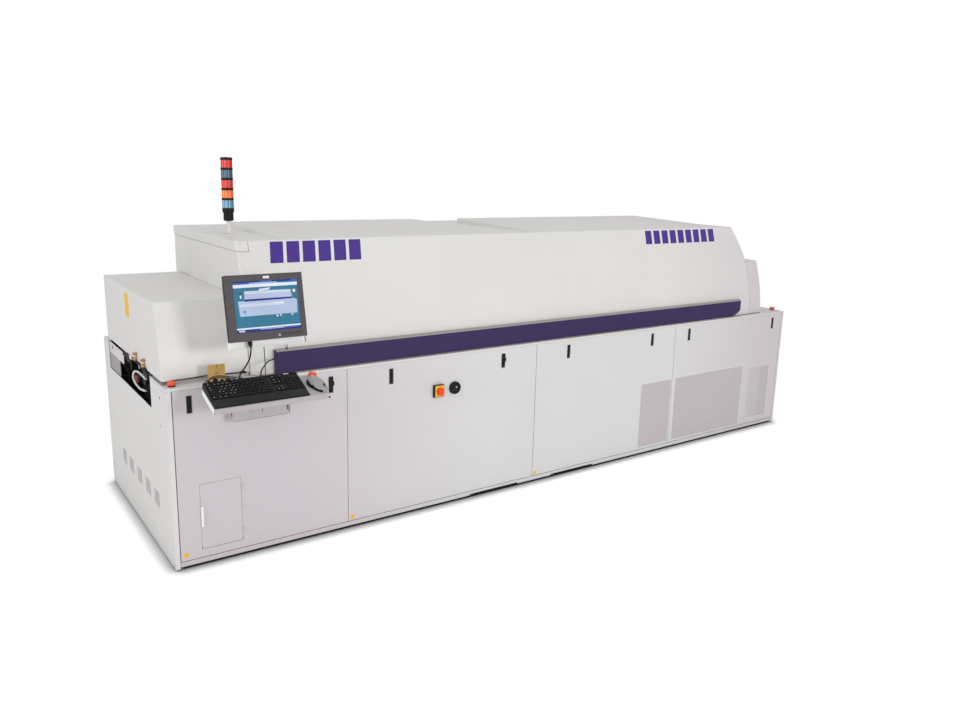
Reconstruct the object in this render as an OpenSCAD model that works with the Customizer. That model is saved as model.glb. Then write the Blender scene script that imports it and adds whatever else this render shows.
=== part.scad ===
// Inline convection reflow oven: floor cabinet, lifting hood, edge-rail and mesh-belt conveyors.
// X runs with the boards (infeed at -X), the operator stands at -Y, Z is up, and the floor is Z = 0.
// Inside the modules X starts at the infeed end, Y at the cabinet's front face; machine() moves it.

/* [Cabinet] */
// Length over both end panels
cabinet_l = 4650; // [4600:10:4700]
// Depth from front face to rear face
cabinet_w = 1370; // [1360:5:1400]
// Height of the deck above the floor
cabinet_h = 905; // [905:1:907]
// Underside of the lift-off panels
panel_z = 42; // [40:1:50]
// Sheet metal thickness of covers and panels
sheet = 3; // [2:0.5:3]

/* [Hood] */
// Top of the hood above the floor
hood_z = 1550; // [1540:5:1560]
// Infeed end of the hood
hood_x0 = 420; // [418:1:424]
// Outfeed end of the hood at its foot
hood_x1 = 4268; // [4262:1:4270]
// How far the outfeed end leans in at the top
hood_end_lean = 78; // [70:1:80]
// Rear wall of the part that lifts
hood_rear = 1006; // [1004:1:1008]
// How far the front leans back at the top
hood_lean = 178; // [160:2:190]
// Radius that rounds the infeed front corner
hood_corner_r = 60; // [50:2:64]

/* [Process tunnel] */
// Zones along the tunnel
zones = 11; // [9:1:12]
// Height of the boards above the floor
pass_z = 880; // [879:1:881]
// Rear face of the fixed rail
fixed_rail_y = 405; // [400:1:406]
// Gap between the rails as drawn
rail_gap = 275; // [200:5:300]

/* [Details] */
// Radius of each exhaust collar
collar_r = 75; // [60:5:80]
// Slope of the keyboard tray, in degrees
tray_tilt = 17; // [14:1:18]
// Lean of the screen away from the operator, in degrees
screen_lean = 11; // [9:1:12]

/* [Hidden] */
$fn = 48;

white = "#e2e0dc";
lilac = "#d2cdd0";
purple = "#402a62";
black = "#1c1c1e";
steel = "#a8abb0";
zinc = "#8e9296";
red = "#ff4b19";

// Overall depth: the tray stands out in front, the exhaust collars behind
tray_front = -338;
collar_l = 70;
rear_housing_y1 = 1330;
collar_x = [650, 3960];
collar_z = 1200;
y_mid = (tray_front + rear_housing_y1 + collar_l) / 2;

// Cabinet
foot_h = 14;
foot_r = 28;
base_z = 8;
skirt_z = 16;
tube_w = 50;
tube_t = 3;
frame_y0 = 30;
frame_y1 = cabinet_w - 80;
mid_rail_z = 450;
top_rail_z = 850;
post_x = [4, 880, 2149, 3391, cabinet_l - tube_w - 4];
panel_edge = 24;
panel_split = [panel_edge, 905, 2174, 3416, cabinet_l - panel_edge];
panel_gap = 4;
deck_lip = 11;
panel_top = cabinet_h - deck_lip - 1;
panel_depth = 22;
panel_sheet = 2;
hem_r = 4;
notch_y0 = 290;
notch_y1 = 1235;
notch_z = 745;

// Latches, two on each panel
latch_x = [[101, 814], [1167, 1920], [2432, 3186], [3559, 4516]];
latch_z0 = 779;
latch_w = 24;
latch_h = 84;
latch_gap = 2;
latch_pivot = 6;
latch_cup = 24;
latch_pin_r = 2;

// Vents: [left, right, low, high], all in the panel's plane
vents_3 = [[3112, 3404, 60, 512]];
vents_4 = [[3452, 4195, 60, 515], [4283, 4525, 90, 486]];
vent_plate = 1;
end_vent_y = [296, 471, 655, 835, 1003];
end_vent_z = 277;
end_vent_w = 100;
end_vent_h = 85;

// Hatch in the first panel
hatch = [127, 330, 85, 420];
hatch_gap = 2;
hatch_t = 3;

// Hood front curve: upright to curve_z, then leaning back
curve_z = 950;
curve_power = 1.6;
curve_y = 42;
curve_steps = 14;
hood_low = cabinet_h + 3;
cap_z = 1500;
cap_seam = 2;
skin_depth = 15;
far = 6000;
end_bend_z = 1300;
end_power = 1.4;
lid_h = [3, 31];
lid_y0 = 240;
lid_y1 = 1110;
lid_gap_x = [2180, 2306];
lid_ramp = 250;
lid_sheet = 1.5;

// Hood hinge line and the lift
hinge_y = 1300;
hinge_z = 1515;
hinge_pin_r = 8;
hinge_ring_r = 15;
hinge_x = [700, 1800, 2900, 3900];
knuckle_w = 24;
housing_top = 1497;
housing_end_gap = 14;
hinge_slot = 5;
running = 0.05;
lift_x = [473, 4137];
lift_y = 230;
lift_half_angle = 15;
lift_radius = (hinge_y - lift_y) / cos(lift_half_angle);
lift_pin_z = hinge_z - lift_radius * sin(lift_half_angle);
lift_slot_l = lift_radius * (1 - cos(lift_half_angle));
lift_rod_r = 15;
lift_body_r = 30;
lift_body_z0 = 250;
lift_body_z1 = 890;
lift_rod_z0 = 290;
lift_pin_r = 8;
lift_slot_play = 3;
lug_t = 8;
lug_off = 20;

// Tunnel
tunnel_x0 = 500;
tunnel_x1 = 4110;
tunnel_y0 = 322;
tunnel_y1 = 998;
tunnel_wall = 12;
lower_z0 = 500;
lower_rim = cabinet_h - 2;
slot_h = 32;
upper_z1 = 1180;
belt_clear_z = 780;
zone_pitch = (tunnel_x1 - tunnel_x0 - 2 * tunnel_wall) / zones;
diffuser_t = 5;
diffuser_gap = 16;
jet_r = 9;
jet_rows = 4;
jet_cols = 3;
fan_shaft_r = 8;
fan_shaft_hole = 12;
fan_r = 110;
fan_t = 40;
fan_blades = 8;
motor_r = 60;
motor_h = 110;

// Conveyors
rail_w = 25;
rail_z0 = 850;
rail_x0 = 40;
rail_x1 = cabinet_l - 40;
moving_rail_y = fixed_rail_y + rail_gap;
chain_w = 8;
chain_off = 2;
chain_t = 4.5;
sprocket_r = 16;
sprocket_play = 0.5;
sprocket_z = pass_z - sprocket_r - 2;
idler_x = 80;
drive_x = cabinet_l - 80;
idler_pin_r = 5;
hex_r = 11;
hex_play = 0.4;
motor_y = 1030;
shaft_hole_r = 14;
screw_r = 8;
screw_z = 825;
screw_x = [300, 4350];
nut_w = 40;
nut_z0 = 808;
plate_t = 10;
plate_y = [355, 1010];
plate_z0 = 290;
plate_z1 = 845;
plate_x = [[60, 390], [4220, 4610]];
ear_z = 885;
ear_w = 50;
roller_r = 40;
roller_z = 752;
roller_x = [150, 4500];
roller_y0 = 375;
roller_y1 = 1000;
axle_r = 10;
return_z = 340;
belt_play = 0.5;
belt_t = 4;
belt_y0 = 420;
belt_y1 = 950;

// Covers over the conveyor ends
cover_low = 924;
infeed_cover_x = [2, 418];
infeed_cover_top = 1281;
infeed_cover_rear = 1251;
infeed_cover_y = 77;
infeed_cover_lean = 95;
outfeed_cover_x = [4270, 4400];
outfeed_cover_top = 1300;

// Handle strip
handle_x = [534, 4125];
handle_z = [910, 1021];
handle_t = 28;
handle_corner = [110, 40];
handle_corner_r = (handle_corner[0] * handle_corner[0] + handle_corner[1] * handle_corner[1])
    / (2 * handle_corner[1]);

// Signal tower
tower_pos = [548, 700];
tower_r = 30;
tower_base = [1616, 1679];
tower_top = 1951;
tower_segments = 5;
tower_pole_r = 12;
ring_h = 12;
tower_pitch = (tower_top - ring_h / 2 - tower_base[1]) / tower_segments;

// Operator station
tray_x = [116, 650];
tray_z = 881;
tray_t = 28;
tray_depth = 182;
tray_corner = 14;
tray_play = 0.3;
web_x = [200, 560];
web_y = [-320, -160];
pocket_x = [277, 568];
pocket_z = [723, 781];
kb_pos = [118, 5];
kb_w = 438;
kb_depth = 182;
kb_h = [8, 24];
mouse_pos = [620, 70];
mouse_turn = 24;
mouse_size = [64, 120, 40];
mouse_side_r = 40;
mouse_back_r = 75;
estop_head_r = 20;
estop_stem_r = 8;
estop_base = 34;
estop_base_h = 1.5;
estop_gap = 5.5;
estop_head_h = 16;
estop_sites = [[40, 50], [4606, 78]];
estop_tray_site = [632, 160];
screen_w = 360;
screen_h = 297;
screen_t = 44;
screen_body_t = 48;
screen_plate_drop = 32;
screen_pos = [404, -205, 1291];
screen_pivot_y = -150;
screen_pivot_r = 8;
arm_x = 350;
arm_w = 60;
arm_z = [1165, 1205];
arm_foot_z = [1140, 1230];
fork_t = 8;
fork_back_y = -125;
fork_h = 20;

// Main switch and the round socket beside it
switch_pos = [1463, 701];
switch_plate = [62, 70, 22];
socket_pos = [1576, 703];
socket_r = 36;
knob_r = 21;
knob_bar = [13, 40];

// Infeed end at X = 0 and cabinet front at Y = 0, moved to the part's origin
module machine() translate([-cabinet_l / 2, -y_mid, 0]) children();

// Cylinders along X and along Y
module rod_x(r, l) rotate([0, 90, 0]) cylinder(r = r, h = l);
module rod_y(r, l) rotate([-90, 0, 0]) cylinder(r = r, h = l);

// A polygon in the Y-Z plane pushed along X
module push_x(l) rotate([90, 0, 90]) linear_extrude(l) children();

// A polygon in the X-Z plane pushed along Y
module push_y(l) rotate([90, 0, 0]) mirror([0, 0, 1]) linear_extrude(l) children();

// Rectangle with equal corner radii, as a true-arc outline
module rounded_rect(w, h, r) {
    translate([r, 0]) square([w - 2 * r, h]);
    translate([0, r]) square([w, h - 2 * r]);
    for (x = [r, w - r], y = [r, h - r]) translate([x, y]) circle(r);
}

// Square tube along X, Y or Z
module tube_x(l) difference() {
    cube([l, tube_w, tube_w]);
    translate([-1, tube_t, tube_t]) cube([l + 2, tube_w - 2 * tube_t, tube_w - 2 * tube_t]);
}
module tube_y(l) translate([tube_w, 0, 0]) rotate([0, 0, 90]) tube_x(l);
module tube_z(l) difference() {
    cube([tube_w, tube_w, l]);
    translate([tube_t, tube_t, -1]) cube([tube_w - 2 * tube_t, tube_w - 2 * tube_t, l + 2]);
}

module base_frame() color(zinc) machine() {
    inner_l = cabinet_l - 8;
    for (y = [frame_y0, frame_y1], z = [foot_h, mid_rail_z, top_rail_z])
        translate([4, y, z]) tube_x(inner_l);
    for (x = post_x, y = [frame_y0, frame_y1]) {
        translate([x, y, foot_h + tube_w]) tube_z(mid_rail_z - foot_h - tube_w);
        translate([x, y, mid_rail_z + tube_w]) tube_z(top_rail_z - mid_rail_z - tube_w);
    }
    beam_l = frame_y1 - frame_y0 - tube_w;
    for (x = post_x) translate([x, frame_y0 + tube_w, foot_h]) tube_y(beam_l);
    for (x = [plate_x[0][1], tunnel_x0 + 3 * zone_pitch, tunnel_x0 + 6 * zone_pitch,
              tunnel_x0 + 9 * zone_pitch, plate_x[1][0] - tube_w])
        translate([x, frame_y0 + tube_w, mid_rail_z]) tube_y(beam_l);
    // Skirt under the front and rear panels
    skirt_h = panel_z - 2 - skirt_z;
    for (y = [sheet, cabinet_w - 2 * sheet]) translate([panel_edge, y, skirt_z])
        difference() {
            cube([cabinet_l - 2 * panel_edge, sheet, skirt_h]);
            // Gaps for a pallet truck's forks
            for (x = [1700, 2330]) translate([x, -1, -1]) cube([360, sheet + 2, 9]);
        }
    for (y = [sheet, frame_y1 + tube_w]) translate([panel_edge, y, skirt_z + skirt_h - sheet])
        cube([cabinet_l - 2 * panel_edge, frame_y0 - sheet, sheet]);
}

module levelling_feet() color(black) machine()
    for (x = post_x, y = [frame_y0, frame_y1]) translate([x + tube_w / 2, y + tube_w / 2, 0]) {
        cylinder(r = foot_r, h = base_z);
        cylinder(r = 10, h = foot_h);
    }

// End panel folded round both corners, with the conveyor notch, as the infeed end
module end_panel_blank() difference() {
    translate([0, 0, base_z]) linear_extrude(panel_top - base_z) {
        square([sheet, cabinet_w]);
        square([panel_edge - 2, sheet]);
        translate([0, cabinet_w - sheet]) square([panel_edge - 2, sheet]);
    }
    translate([-1, notch_y0, notch_z]) cube([sheet + 2, notch_y1 - notch_y0, cabinet_h]);
}

module infeed_end_panel() color(white) machine() difference() {
    end_panel_blank();
    for (y = end_vent_y) translate([-1, y - end_vent_w / 2, end_vent_z - end_vent_h / 2])
        cube([sheet + 2, end_vent_w, end_vent_h]);
    translate([-1, 123, 837]) rod_x(8, sheet + 2);
}

module outfeed_end_panel() color(white) machine() translate([cabinet_l, 0, 0]) mirror([1, 0, 0])
    end_panel_blank();

module rear_panels() color(white) machine()
    for (i = [0:3]) {
        x0 = panel_split[i] + panel_gap / 2;
        w = panel_split[i + 1] - panel_split[i] - panel_gap;
        translate([x0, cabinet_w - sheet - panel_depth + sheet, panel_z]) difference() {
            cube([w, panel_depth, panel_top - panel_z]);
            translate([sheet, -1, sheet])
                cube([w - 2 * sheet, panel_depth + 1 - sheet, panel_top - panel_z - 2 * sheet]);
            // Louvred intake, low on each panel
            for (k = [0:7]) translate([w / 2 - 200, 0, 90 + 22 * k])
                cube([400, panel_depth + 1, 8]);
        }
    }

// Deck plate with a folded lip all round
module top_deck() color(white) machine() difference() {
    translate([0, 0, cabinet_h - deck_lip]) cube([cabinet_l, cabinet_w, deck_lip]);
    translate([panel_sheet, panel_sheet, cabinet_h - deck_lip - 1])
        cube([cabinet_l - 2 * panel_sheet, cabinet_w - 2 * panel_sheet, deck_lip + 1 - sheet]);
    for (x = [-1, hood_x1]) translate([x, notch_y0, cabinet_h - deck_lip - 1])
        cube([x < 0 ? hood_x0 + 1 : cabinet_l, notch_y1 - notch_y0, deck_lip + 2]);
    translate([hood_x0 - 2, tunnel_y0 - 3, cabinet_h - sheet - 1])
        cube([hood_x1 - hood_x0 + 4, tunnel_y1 - tunnel_y0 + 6, sheet + 2]);
    for (x = lift_x) translate([x, lift_y, cabinet_h - sheet - 1])
        cylinder(r = lift_body_r, h = sheet + 2);
}

// Depth of the hood's front skin at height z
function front_y(z) = z < curve_z ? curve_y
    : curve_y + hood_lean * pow((z - curve_z) / (hood_z - curve_z), curve_power);
// Place of the hood's outfeed end at height z
function end_x(z) = z < end_bend_z ? hood_x1
    : hood_x1 - hood_end_lean * pow((z - end_bend_z) / (hood_z - end_bend_z), end_power);
// Heights at which the curve is drawn between two levels
function levels(z0, z1) = [for (i = [0:curve_steps]) z0 + (z1 - z0) * i / curve_steps];

// Outline of a block behind the hood's front curve, shrunk by t, seen from the infeed end
module curve_outline(z0, z1, rear, t, c = 1, shift = 0)
    polygon(concat([for (z = levels(z0, z1)) [front_y(z) * c + shift + t, z]],
        [[rear, z1], [rear, z0]]));

// All that lies left of the leaning outfeed end, t inside it
module end_zone(z0, z1, t) push_y(far)
    polygon(concat([[0, z1], [0, z0]], [for (z = levels(z0, z1)) [end_x(z) - t, z]]));

// Block with the hood's front curve and leaning end, its infeed front corner rounded by three flats
module curved_block(x0, x1, z0, z1, rear, t, rounded = true) intersection() {
    translate([x0 + t, 0, 0]) push_x(x1 - x0 - 2 * t) curve_outline(z0, z1, rear - t, t);
    end_zone(z0, z1, t);
    if (rounded) for (a = [22.5, 45, 67.5])
        rotate([0, 0, -a]) translate([-far / 2, 0, 0]) push_x(2 * far)
            curve_outline(z0, z1, far, t, cos(a),
                sin(a) * (x0 + hood_corner_r) + cos(a) * hood_corner_r - hood_corner_r);
}

// Outline of the infeed cover, whose front leans back on a curve of its own
module infeed_outline(t, drop) polygon(concat(
    [for (z = levels(cover_low, infeed_cover_top - t)) [infeed_cover_y + t + infeed_cover_lean
        * pow((z - cover_low) / (infeed_cover_top - cover_low), curve_power), z]],
    [[infeed_cover_rear - t, infeed_cover_top - t], [infeed_cover_rear - t, cover_low - drop],
        [infeed_cover_y + t, cover_low - drop]]));

module infeed_cover() color(white) machine() {
    difference() {
        translate([infeed_cover_x[0], 0, 0]) push_x(infeed_cover_x[1] - infeed_cover_x[0])
            infeed_outline(0, 0);
        translate([infeed_cover_x[0] + sheet, 0, 0]) push_x(infeed_cover_x[1]) infeed_outline(sheet, 10);
    }
    // Spacers that hold the cover off the deck
    for (x = [30, 370], y = [infeed_cover_y + 1, infeed_cover_rear - 13])
        translate([x, y, cabinet_h]) cube([20, 12, cover_low - cabinet_h + 4]);
}

module outfeed_cover() color(white) machine() difference() {
    translate([outfeed_cover_x[0], 0, 0]) push_x(outfeed_cover_x[1] - outfeed_cover_x[0])
        curve_outline(hood_low, outfeed_cover_top, infeed_cover_rear, 0);
    translate([outfeed_cover_x[0] - 10, 0, 0])
        push_x(outfeed_cover_x[1] - outfeed_cover_x[0] + 10 - sheet)
        curve_outline(hood_low - 10, outfeed_cover_top - sheet, infeed_cover_rear - sheet, sheet);
    translate([outfeed_cover_x[1] - sheet - 1, notch_y0, hood_low - 1])
        cube([sheet + 2, notch_y1 - notch_y0, 60]);
}

module rear_housing() color(white) machine() {
    x0 = hood_x0 + 4;
    y0 = hood_rear + 6;
    difference() {
        intersection() {
            translate([x0, y0, cabinet_h]) cube([far, rear_housing_y1 - y0, housing_top - cabinet_h]);
            end_zone(cabinet_h, housing_top, housing_end_gap);
        }
        intersection() {
            translate([x0 + sheet, y0 + sheet, cabinet_h - 1])
                cube([far, rear_housing_y1 - y0 - 2 * sheet, housing_top - cabinet_h + 1 - sheet]);
            end_zone(cabinet_h - 1, housing_top, housing_end_gap + sheet);
        }
        for (x = collar_x) translate([x, rear_housing_y1 - sheet - 1, collar_z])
            rod_y(collar_r - sheet, sheet + 2);
    }
    for (x = collar_x) translate([x, rear_housing_y1 - sheet, collar_z]) difference() {
        rod_y(collar_r, collar_l + sheet);
        translate([0, -1, 0]) rod_y(collar_r - sheet, collar_l + sheet + 2);
    }
}

// Insulated trough: lower half as drawn, upper half mirrored by its caller's sizes
module lower_tunnel() color(steel) machine() difference() {
    l = tunnel_x1 - tunnel_x0;
    w = tunnel_y1 - tunnel_y0;
    translate([tunnel_x0, tunnel_y0, lower_z0]) cube([l, w, lower_rim - lower_z0]);
    translate([tunnel_x0 + tunnel_wall, tunnel_y0 + tunnel_wall, lower_z0 + tunnel_wall])
        cube([l - 2 * tunnel_wall, w - 2 * tunnel_wall, lower_rim]);
    translate([tunnel_x0 - 1, tunnel_y0 + tunnel_wall, belt_clear_z])
        cube([l + 2, w - 2 * tunnel_wall, lower_rim]);
    for (i = [0:zones - 1]) zone_at(i, lower_z0 - 1) cylinder(r = fan_shaft_hole, h = tunnel_wall + 2);
}

module upper_tunnel() color(steel) machine() difference() {
    l = tunnel_x1 - tunnel_x0;
    w = tunnel_y1 - tunnel_y0;
    translate([tunnel_x0, tunnel_y0, hood_low]) cube([l, w, upper_z1 - hood_low]);
    translate([tunnel_x0 + tunnel_wall, tunnel_y0 + tunnel_wall, hood_low - 1])
        cube([l - 2 * tunnel_wall, w - 2 * tunnel_wall, upper_z1 - hood_low + 1 - tunnel_wall]);
    translate([tunnel_x0 - 1, tunnel_y0 + tunnel_wall, hood_low - 1])
        cube([l + 2, w - 2 * tunnel_wall, slot_h]);
    for (i = [0:zones - 1])
        zone_at(i, upper_z1 - tunnel_wall - 1) cylinder(r = fan_shaft_hole, h = tunnel_wall + 2);
}

// Children placed at the middle of zone i, at height z
module zone_at(i, z)
    translate([tunnel_x0 + tunnel_wall + (i + 0.5) * zone_pitch, (tunnel_y0 + tunnel_y1) / 2, z])
    children();

// One jet plate, centred, with its rows of round jets
module jet_plate() {
    l = zone_pitch - diffuser_gap;
    w = tunnel_y1 - tunnel_y0 - 2 * tunnel_wall - 4;
    difference() {
        translate([-l / 2, -w / 2, 0]) cube([l, w, diffuser_t]);
        for (i = [0:jet_rows - 1], j = [0:jet_cols - 1])
            translate([(j - (jet_cols - 1) / 2) * l / jet_cols, (i - (jet_rows - 1) / 2) * w / jet_rows, -1])
                cylinder(r = jet_r, h = diffuser_t + 2, $fn = 24);
    }
}

module lower_diffusers() color(steel) machine()
    for (i = [0:zones - 1]) zone_at(i, belt_clear_z - 10) jet_plate();

module upper_diffusers() color(steel) machine()
    for (i = [0:zones - 1]) zone_at(i, hood_low + slot_h + 5) jet_plate();

// Motor, shaft and bladed impeller standing up from the wall at height 0
module blower() {
    translate([0, 0, -motor_h]) cylinder(r = motor_r, h = motor_h - 1);
    translate([0, 0, -1]) cylinder(r = fan_shaft_r, h = tunnel_wall + 30);
    translate([0, 0, tunnel_wall + 25]) {
        cylinder(r = fan_r, h = 3);
        for (k = [0:fan_blades - 1]) rotate([0, 0, k * 360 / fan_blades])
            translate([40, -2, 0]) cube([fan_r - 45, 4, fan_t]);
    }
}

module lower_blowers() color(zinc) machine()
    for (i = [0:zones - 1]) zone_at(i, lower_z0) blower();

module upper_blowers() color(zinc) machine()
    for (i = [0:zones - 1]) zone_at(i, upper_z1) mirror([0, 0, 1]) blower();

module electrical_cabinet() color(steel) machine() translate([1050, 90, 75]) difference() {
    cube([980, 220, 340]);
    translate([2, -1, 2]) cube([976, 219, 336]);
}

// Fixed lugs, pins and base plates on the rear housing
module hood_hinges() color(zinc) machine()
    for (x = hinge_x) translate([x, hinge_y, 0]) {
        translate([-knuckle_w / 2 - 16, 0, hinge_z]) rod_x(hinge_pin_r, knuckle_w + 32);
        for (s = [-1, 1]) translate([s * (knuckle_w / 2 + 7) - 5, -14, housing_top])
            cube([10, 28, hinge_z - housing_top + 12]);
    }

// Side plates that carry the rollers, screws and rails at one end, with an ear for the drive shaft
module cradle(x, ear) for (y = plate_y) difference() {
    union() {
        translate([x[0], y, plate_z0]) cube([x[1] - x[0], plate_t, plate_z1 - plate_z0]);
        if (ear) translate([drive_x - ear_w / 2, y, plate_z1 - 1])
            cube([ear_w, plate_t, ear_z - plate_z1 + 1]);
    }
    for (x = roller_x) bore_y(x, y, roller_z, axle_r);
    for (x = screw_x) bore_y(x, y, screw_z, screw_r);
    bore_y(drive_x, y, sprocket_z, shaft_hole_r);
}

module bore_y(x, y, z, r) translate([x, y - 1, z]) rod_y(r + running, plate_t + 2);

module conveyor_supports() color(black) machine() {
    cradle(plate_x[0], false);
    cradle(plate_x[1], true);
    for (x = roller_x) translate([x, plate_y[0] + plate_t, return_z])
        rod_y(roller_r, plate_y[1] - plate_y[0] - plate_t);
}

// Rail of channel section with a lip under the chain
module rail(y0, chain_side) {
    translate([rail_x0, y0, rail_z0]) cube([rail_x1 - rail_x0, rail_w, cabinet_h - rail_z0]);
    translate([idler_x, chain_side > 0 ? y0 + rail_w : y0, sprocket_z])
        mirror([0, chain_side > 0 ? 0 : 1, 0]) rod_y(idler_pin_r, chain_w + 2 * chain_off);
}

module fixed_rail() color(zinc) machine() difference() {
    union() {
        rail(fixed_rail_y - rail_w, 1);
        for (x = screw_x) {
            translate([x - nut_w / 2, fixed_rail_y - rail_w, nut_z0]) cube([nut_w, rail_w, rail_z0 - nut_z0]);
            translate([x + nut_w, plate_y[0] + plate_t, plate_z1 - 20])
                cube([nut_w, fixed_rail_y - plate_y[0] - plate_t, 20]);
            translate([x + nut_w, fixed_rail_y - rail_w, plate_z1 - 1]) cube([nut_w, rail_w, 6]);
        }
    }
    for (x = screw_x) translate([x, fixed_rail_y - rail_w - 1, screw_z])
        rod_y(screw_r + 2, rail_w + 2);
    translate([drive_x, fixed_rail_y - rail_w - 1, sprocket_z]) rod_y(shaft_hole_r, rail_w + 2);
}

module moving_rail() color(zinc) machine() difference() {
    union() {
        rail(moving_rail_y, -1);
        for (x = screw_x) translate([x - nut_w / 2, moving_rail_y, nut_z0])
            cube([nut_w, rail_w, rail_z0 - nut_z0 + 1]);
    }
    for (x = screw_x) translate([x, moving_rail_y - 1, screw_z]) rod_y(screw_r + running, rail_w + 2);
    translate([drive_x, moving_rail_y - 1, sprocket_z]) rod_y(shaft_hole_r, rail_w + 2);
}

// Closed loop of chain round two sprockets, as a flat band
module chain_loop(y0) translate([0, y0, sprocket_z]) push_y(chain_w) difference() {
    band(sprocket_r + sprocket_play + chain_t);
    band(sprocket_r + sprocket_play);
}
module band(r) {
    for (x = [idler_x, drive_x]) translate([x, 0]) circle(r);
    translate([idler_x, -r]) square([drive_x - idler_x, 2 * r]);
}

module fixed_chain() color(steel) machine() chain_loop(fixed_rail_y + chain_off);
module moving_chain() color(steel) machine() chain_loop(moving_rail_y - chain_off - chain_w);

// Toothed wheel: lightened disc with a round bore
module idler_wheel(y0) translate([idler_x, y0, sprocket_z]) difference() {
    rod_y(sprocket_r, chain_w);
    translate([0, -1, 0]) rod_y(idler_pin_r + running, chain_w + 2);
    for (a = [0:60:300]) rotate([0, a, 0]) translate([10.5, -1, 0]) rod_y(1.8, chain_w + 2);
}

module idler_sprocket_fixed() color(black) machine() idler_wheel(fixed_rail_y + chain_off);
module idler_sprocket_moving() color(black) machine() idler_wheel(moving_rail_y - chain_off - chain_w);

module hex_bar(r, l) rotate([-90, 0, 0]) cylinder(r = r, h = l, $fn = 6);

module drive_shaft() color(steel) machine() translate([drive_x, 0, sprocket_z]) {
    translate([0, plate_y[0] - 5, 0]) hex_bar(hex_r, motor_y - plate_y[0] + 3);
    translate([0, fixed_rail_y + chain_off, 0]) rod_y(sprocket_r, chain_w);
}

module drive_sprocket() color(black) machine()
    translate([drive_x, moving_rail_y - chain_off - chain_w, sprocket_z]) difference() {
        rod_y(sprocket_r, chain_w);
        translate([0, -1, 0]) hex_bar(hex_r + hex_play, chain_w + 2);
    }

module conveyor_motor() color(black) machine() translate([drive_x, motor_y, sprocket_z]) {
    translate([-45, 0, -50]) cube([90, 70, 90]);
    translate([0, 71, -5]) rod_y(42, 120);
}

module lead_screw(x) translate([x, 0, screw_z]) {
    translate([0, plate_y[0] - 5, 0]) rod_y(screw_r, plate_y[1] + plate_t + 40 - plate_y[0]);
    translate([0, plate_y[1] + plate_t + 5, 0]) rod_y(22, 20);
}
module lead_screw_infeed() color(steel) machine() lead_screw(screw_x[0]);
module lead_screw_outfeed() color(steel) machine() lead_screw(screw_x[1]);

module belt_roller(x) translate([x, 0, roller_z]) {
    translate([0, roller_y0, 0]) rod_y(roller_r, roller_y1 - roller_y0);
    translate([0, plate_y[0] - 4, 0]) rod_y(axle_r, plate_y[1] - plate_y[0] + plate_t + 8);
}
module belt_idler_roller() color(steel) machine() belt_roller(roller_x[0]);
module belt_drive_roller() color(steel) machine() belt_roller(roller_x[1]);

// Loop over the two rollers and back under the tunnel
module belt_path(r) {
    for (x = roller_x, z = [roller_z, return_z]) translate([x, z]) circle(r);
    translate([roller_x[0] - r, return_z]) square([roller_x[1] - roller_x[0] + 2 * r, roller_z - return_z]);
    translate([roller_x[0], return_z - r]) square([roller_x[1] - roller_x[0], roller_z - return_z + 2 * r]);
}
module mesh_belt() color(steel) machine() translate([0, belt_y0, 0]) push_y(belt_y1 - belt_y0)
    difference() {
        belt_path(roller_r + belt_play + belt_t);
        belt_path(roller_r + belt_play);
    }

module lift_actuators() color(zinc) machine()
    for (x = lift_x) translate([x, lift_y, lift_body_z0]) difference() {
        union() {
            cylinder(r = lift_body_r, h = lift_body_z1 - lift_body_z0);
            translate([-35, -40, -20]) cube([70, 80, 100]);
        }
        translate([0, 0, 30]) cylinder(r = lift_rod_r + running, h = lift_body_z1);
    }

module lift_rods() color(steel) machine()
    for (i = [0, 1]) translate([lift_x[i], lift_y, 0]) {
        translate([0, 0, lift_rod_z0]) cylinder(r = lift_rod_r, h = lift_pin_z - lift_rod_z0 + 14);
        translate([i == 0 ? 0 : -lug_off - lug_t - 4, 0, lift_pin_z])
            rod_x(lift_pin_r, lug_off + lug_t + 4);
    }

// Lug plate of the hood with the inclined slot that the lift pin slides in
module lift_lug(i) {
    x = i == 0 ? lift_x[0] + lug_off : lift_x[1] - lug_off - lug_t;
    r = lift_pin_r + lift_slot_play;
    difference() {
        intersection() {
            translate([x, 60, lift_pin_z - 45]) cube([lug_t, 240, cap_z - lift_pin_z + 42]);
            curved_block(hood_x0, hood_x1, hood_low - 1, hood_z, hood_rear, sheet - 1, false);
        }
        translate([x - 1, lift_y, lift_pin_z]) rotate([lift_half_angle, 0, 0]) {
            translate([0, -2, 0]) rod_x(r, lug_t + 2);
            translate([0, lift_slot_l + 2, 0]) rod_x(r, lug_t + 2);
            translate([0, -2, -r]) cube([lug_t + 2, lift_slot_l + 4, 2 * r]);
        }
    }
}

// Front skin zone above the cap's seam
module skin_zone(grow) translate([hood_x0 + hood_corner_r + grow, 0, 0])
    push_x(hood_x1) curve_outline(cap_z - cap_seam - 1, hood_z + 1, front_y(hood_z) + skin_depth - grow, -20);

module hood_shell() color(white) machine() {
    difference() {
        curved_block(hood_x0, hood_x1, hood_low, hood_z, hood_rear, 0);
        curved_block(hood_x0, hood_x1, hood_low - 1, hood_z - sheet, hood_rear, sheet);
        difference() {
            translate([0, 0, cap_z - cap_seam]) cube([far, far, 200]);
            skin_zone(0);
        }
        translate([0, tunnel_y0 + tunnel_wall, hood_low - 1])
            cube([far, tunnel_y1 - tunnel_y0 - 2 * tunnel_wall, slot_h]);
    }
    for (i = [0, 1]) lift_lug(i);
}

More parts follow.
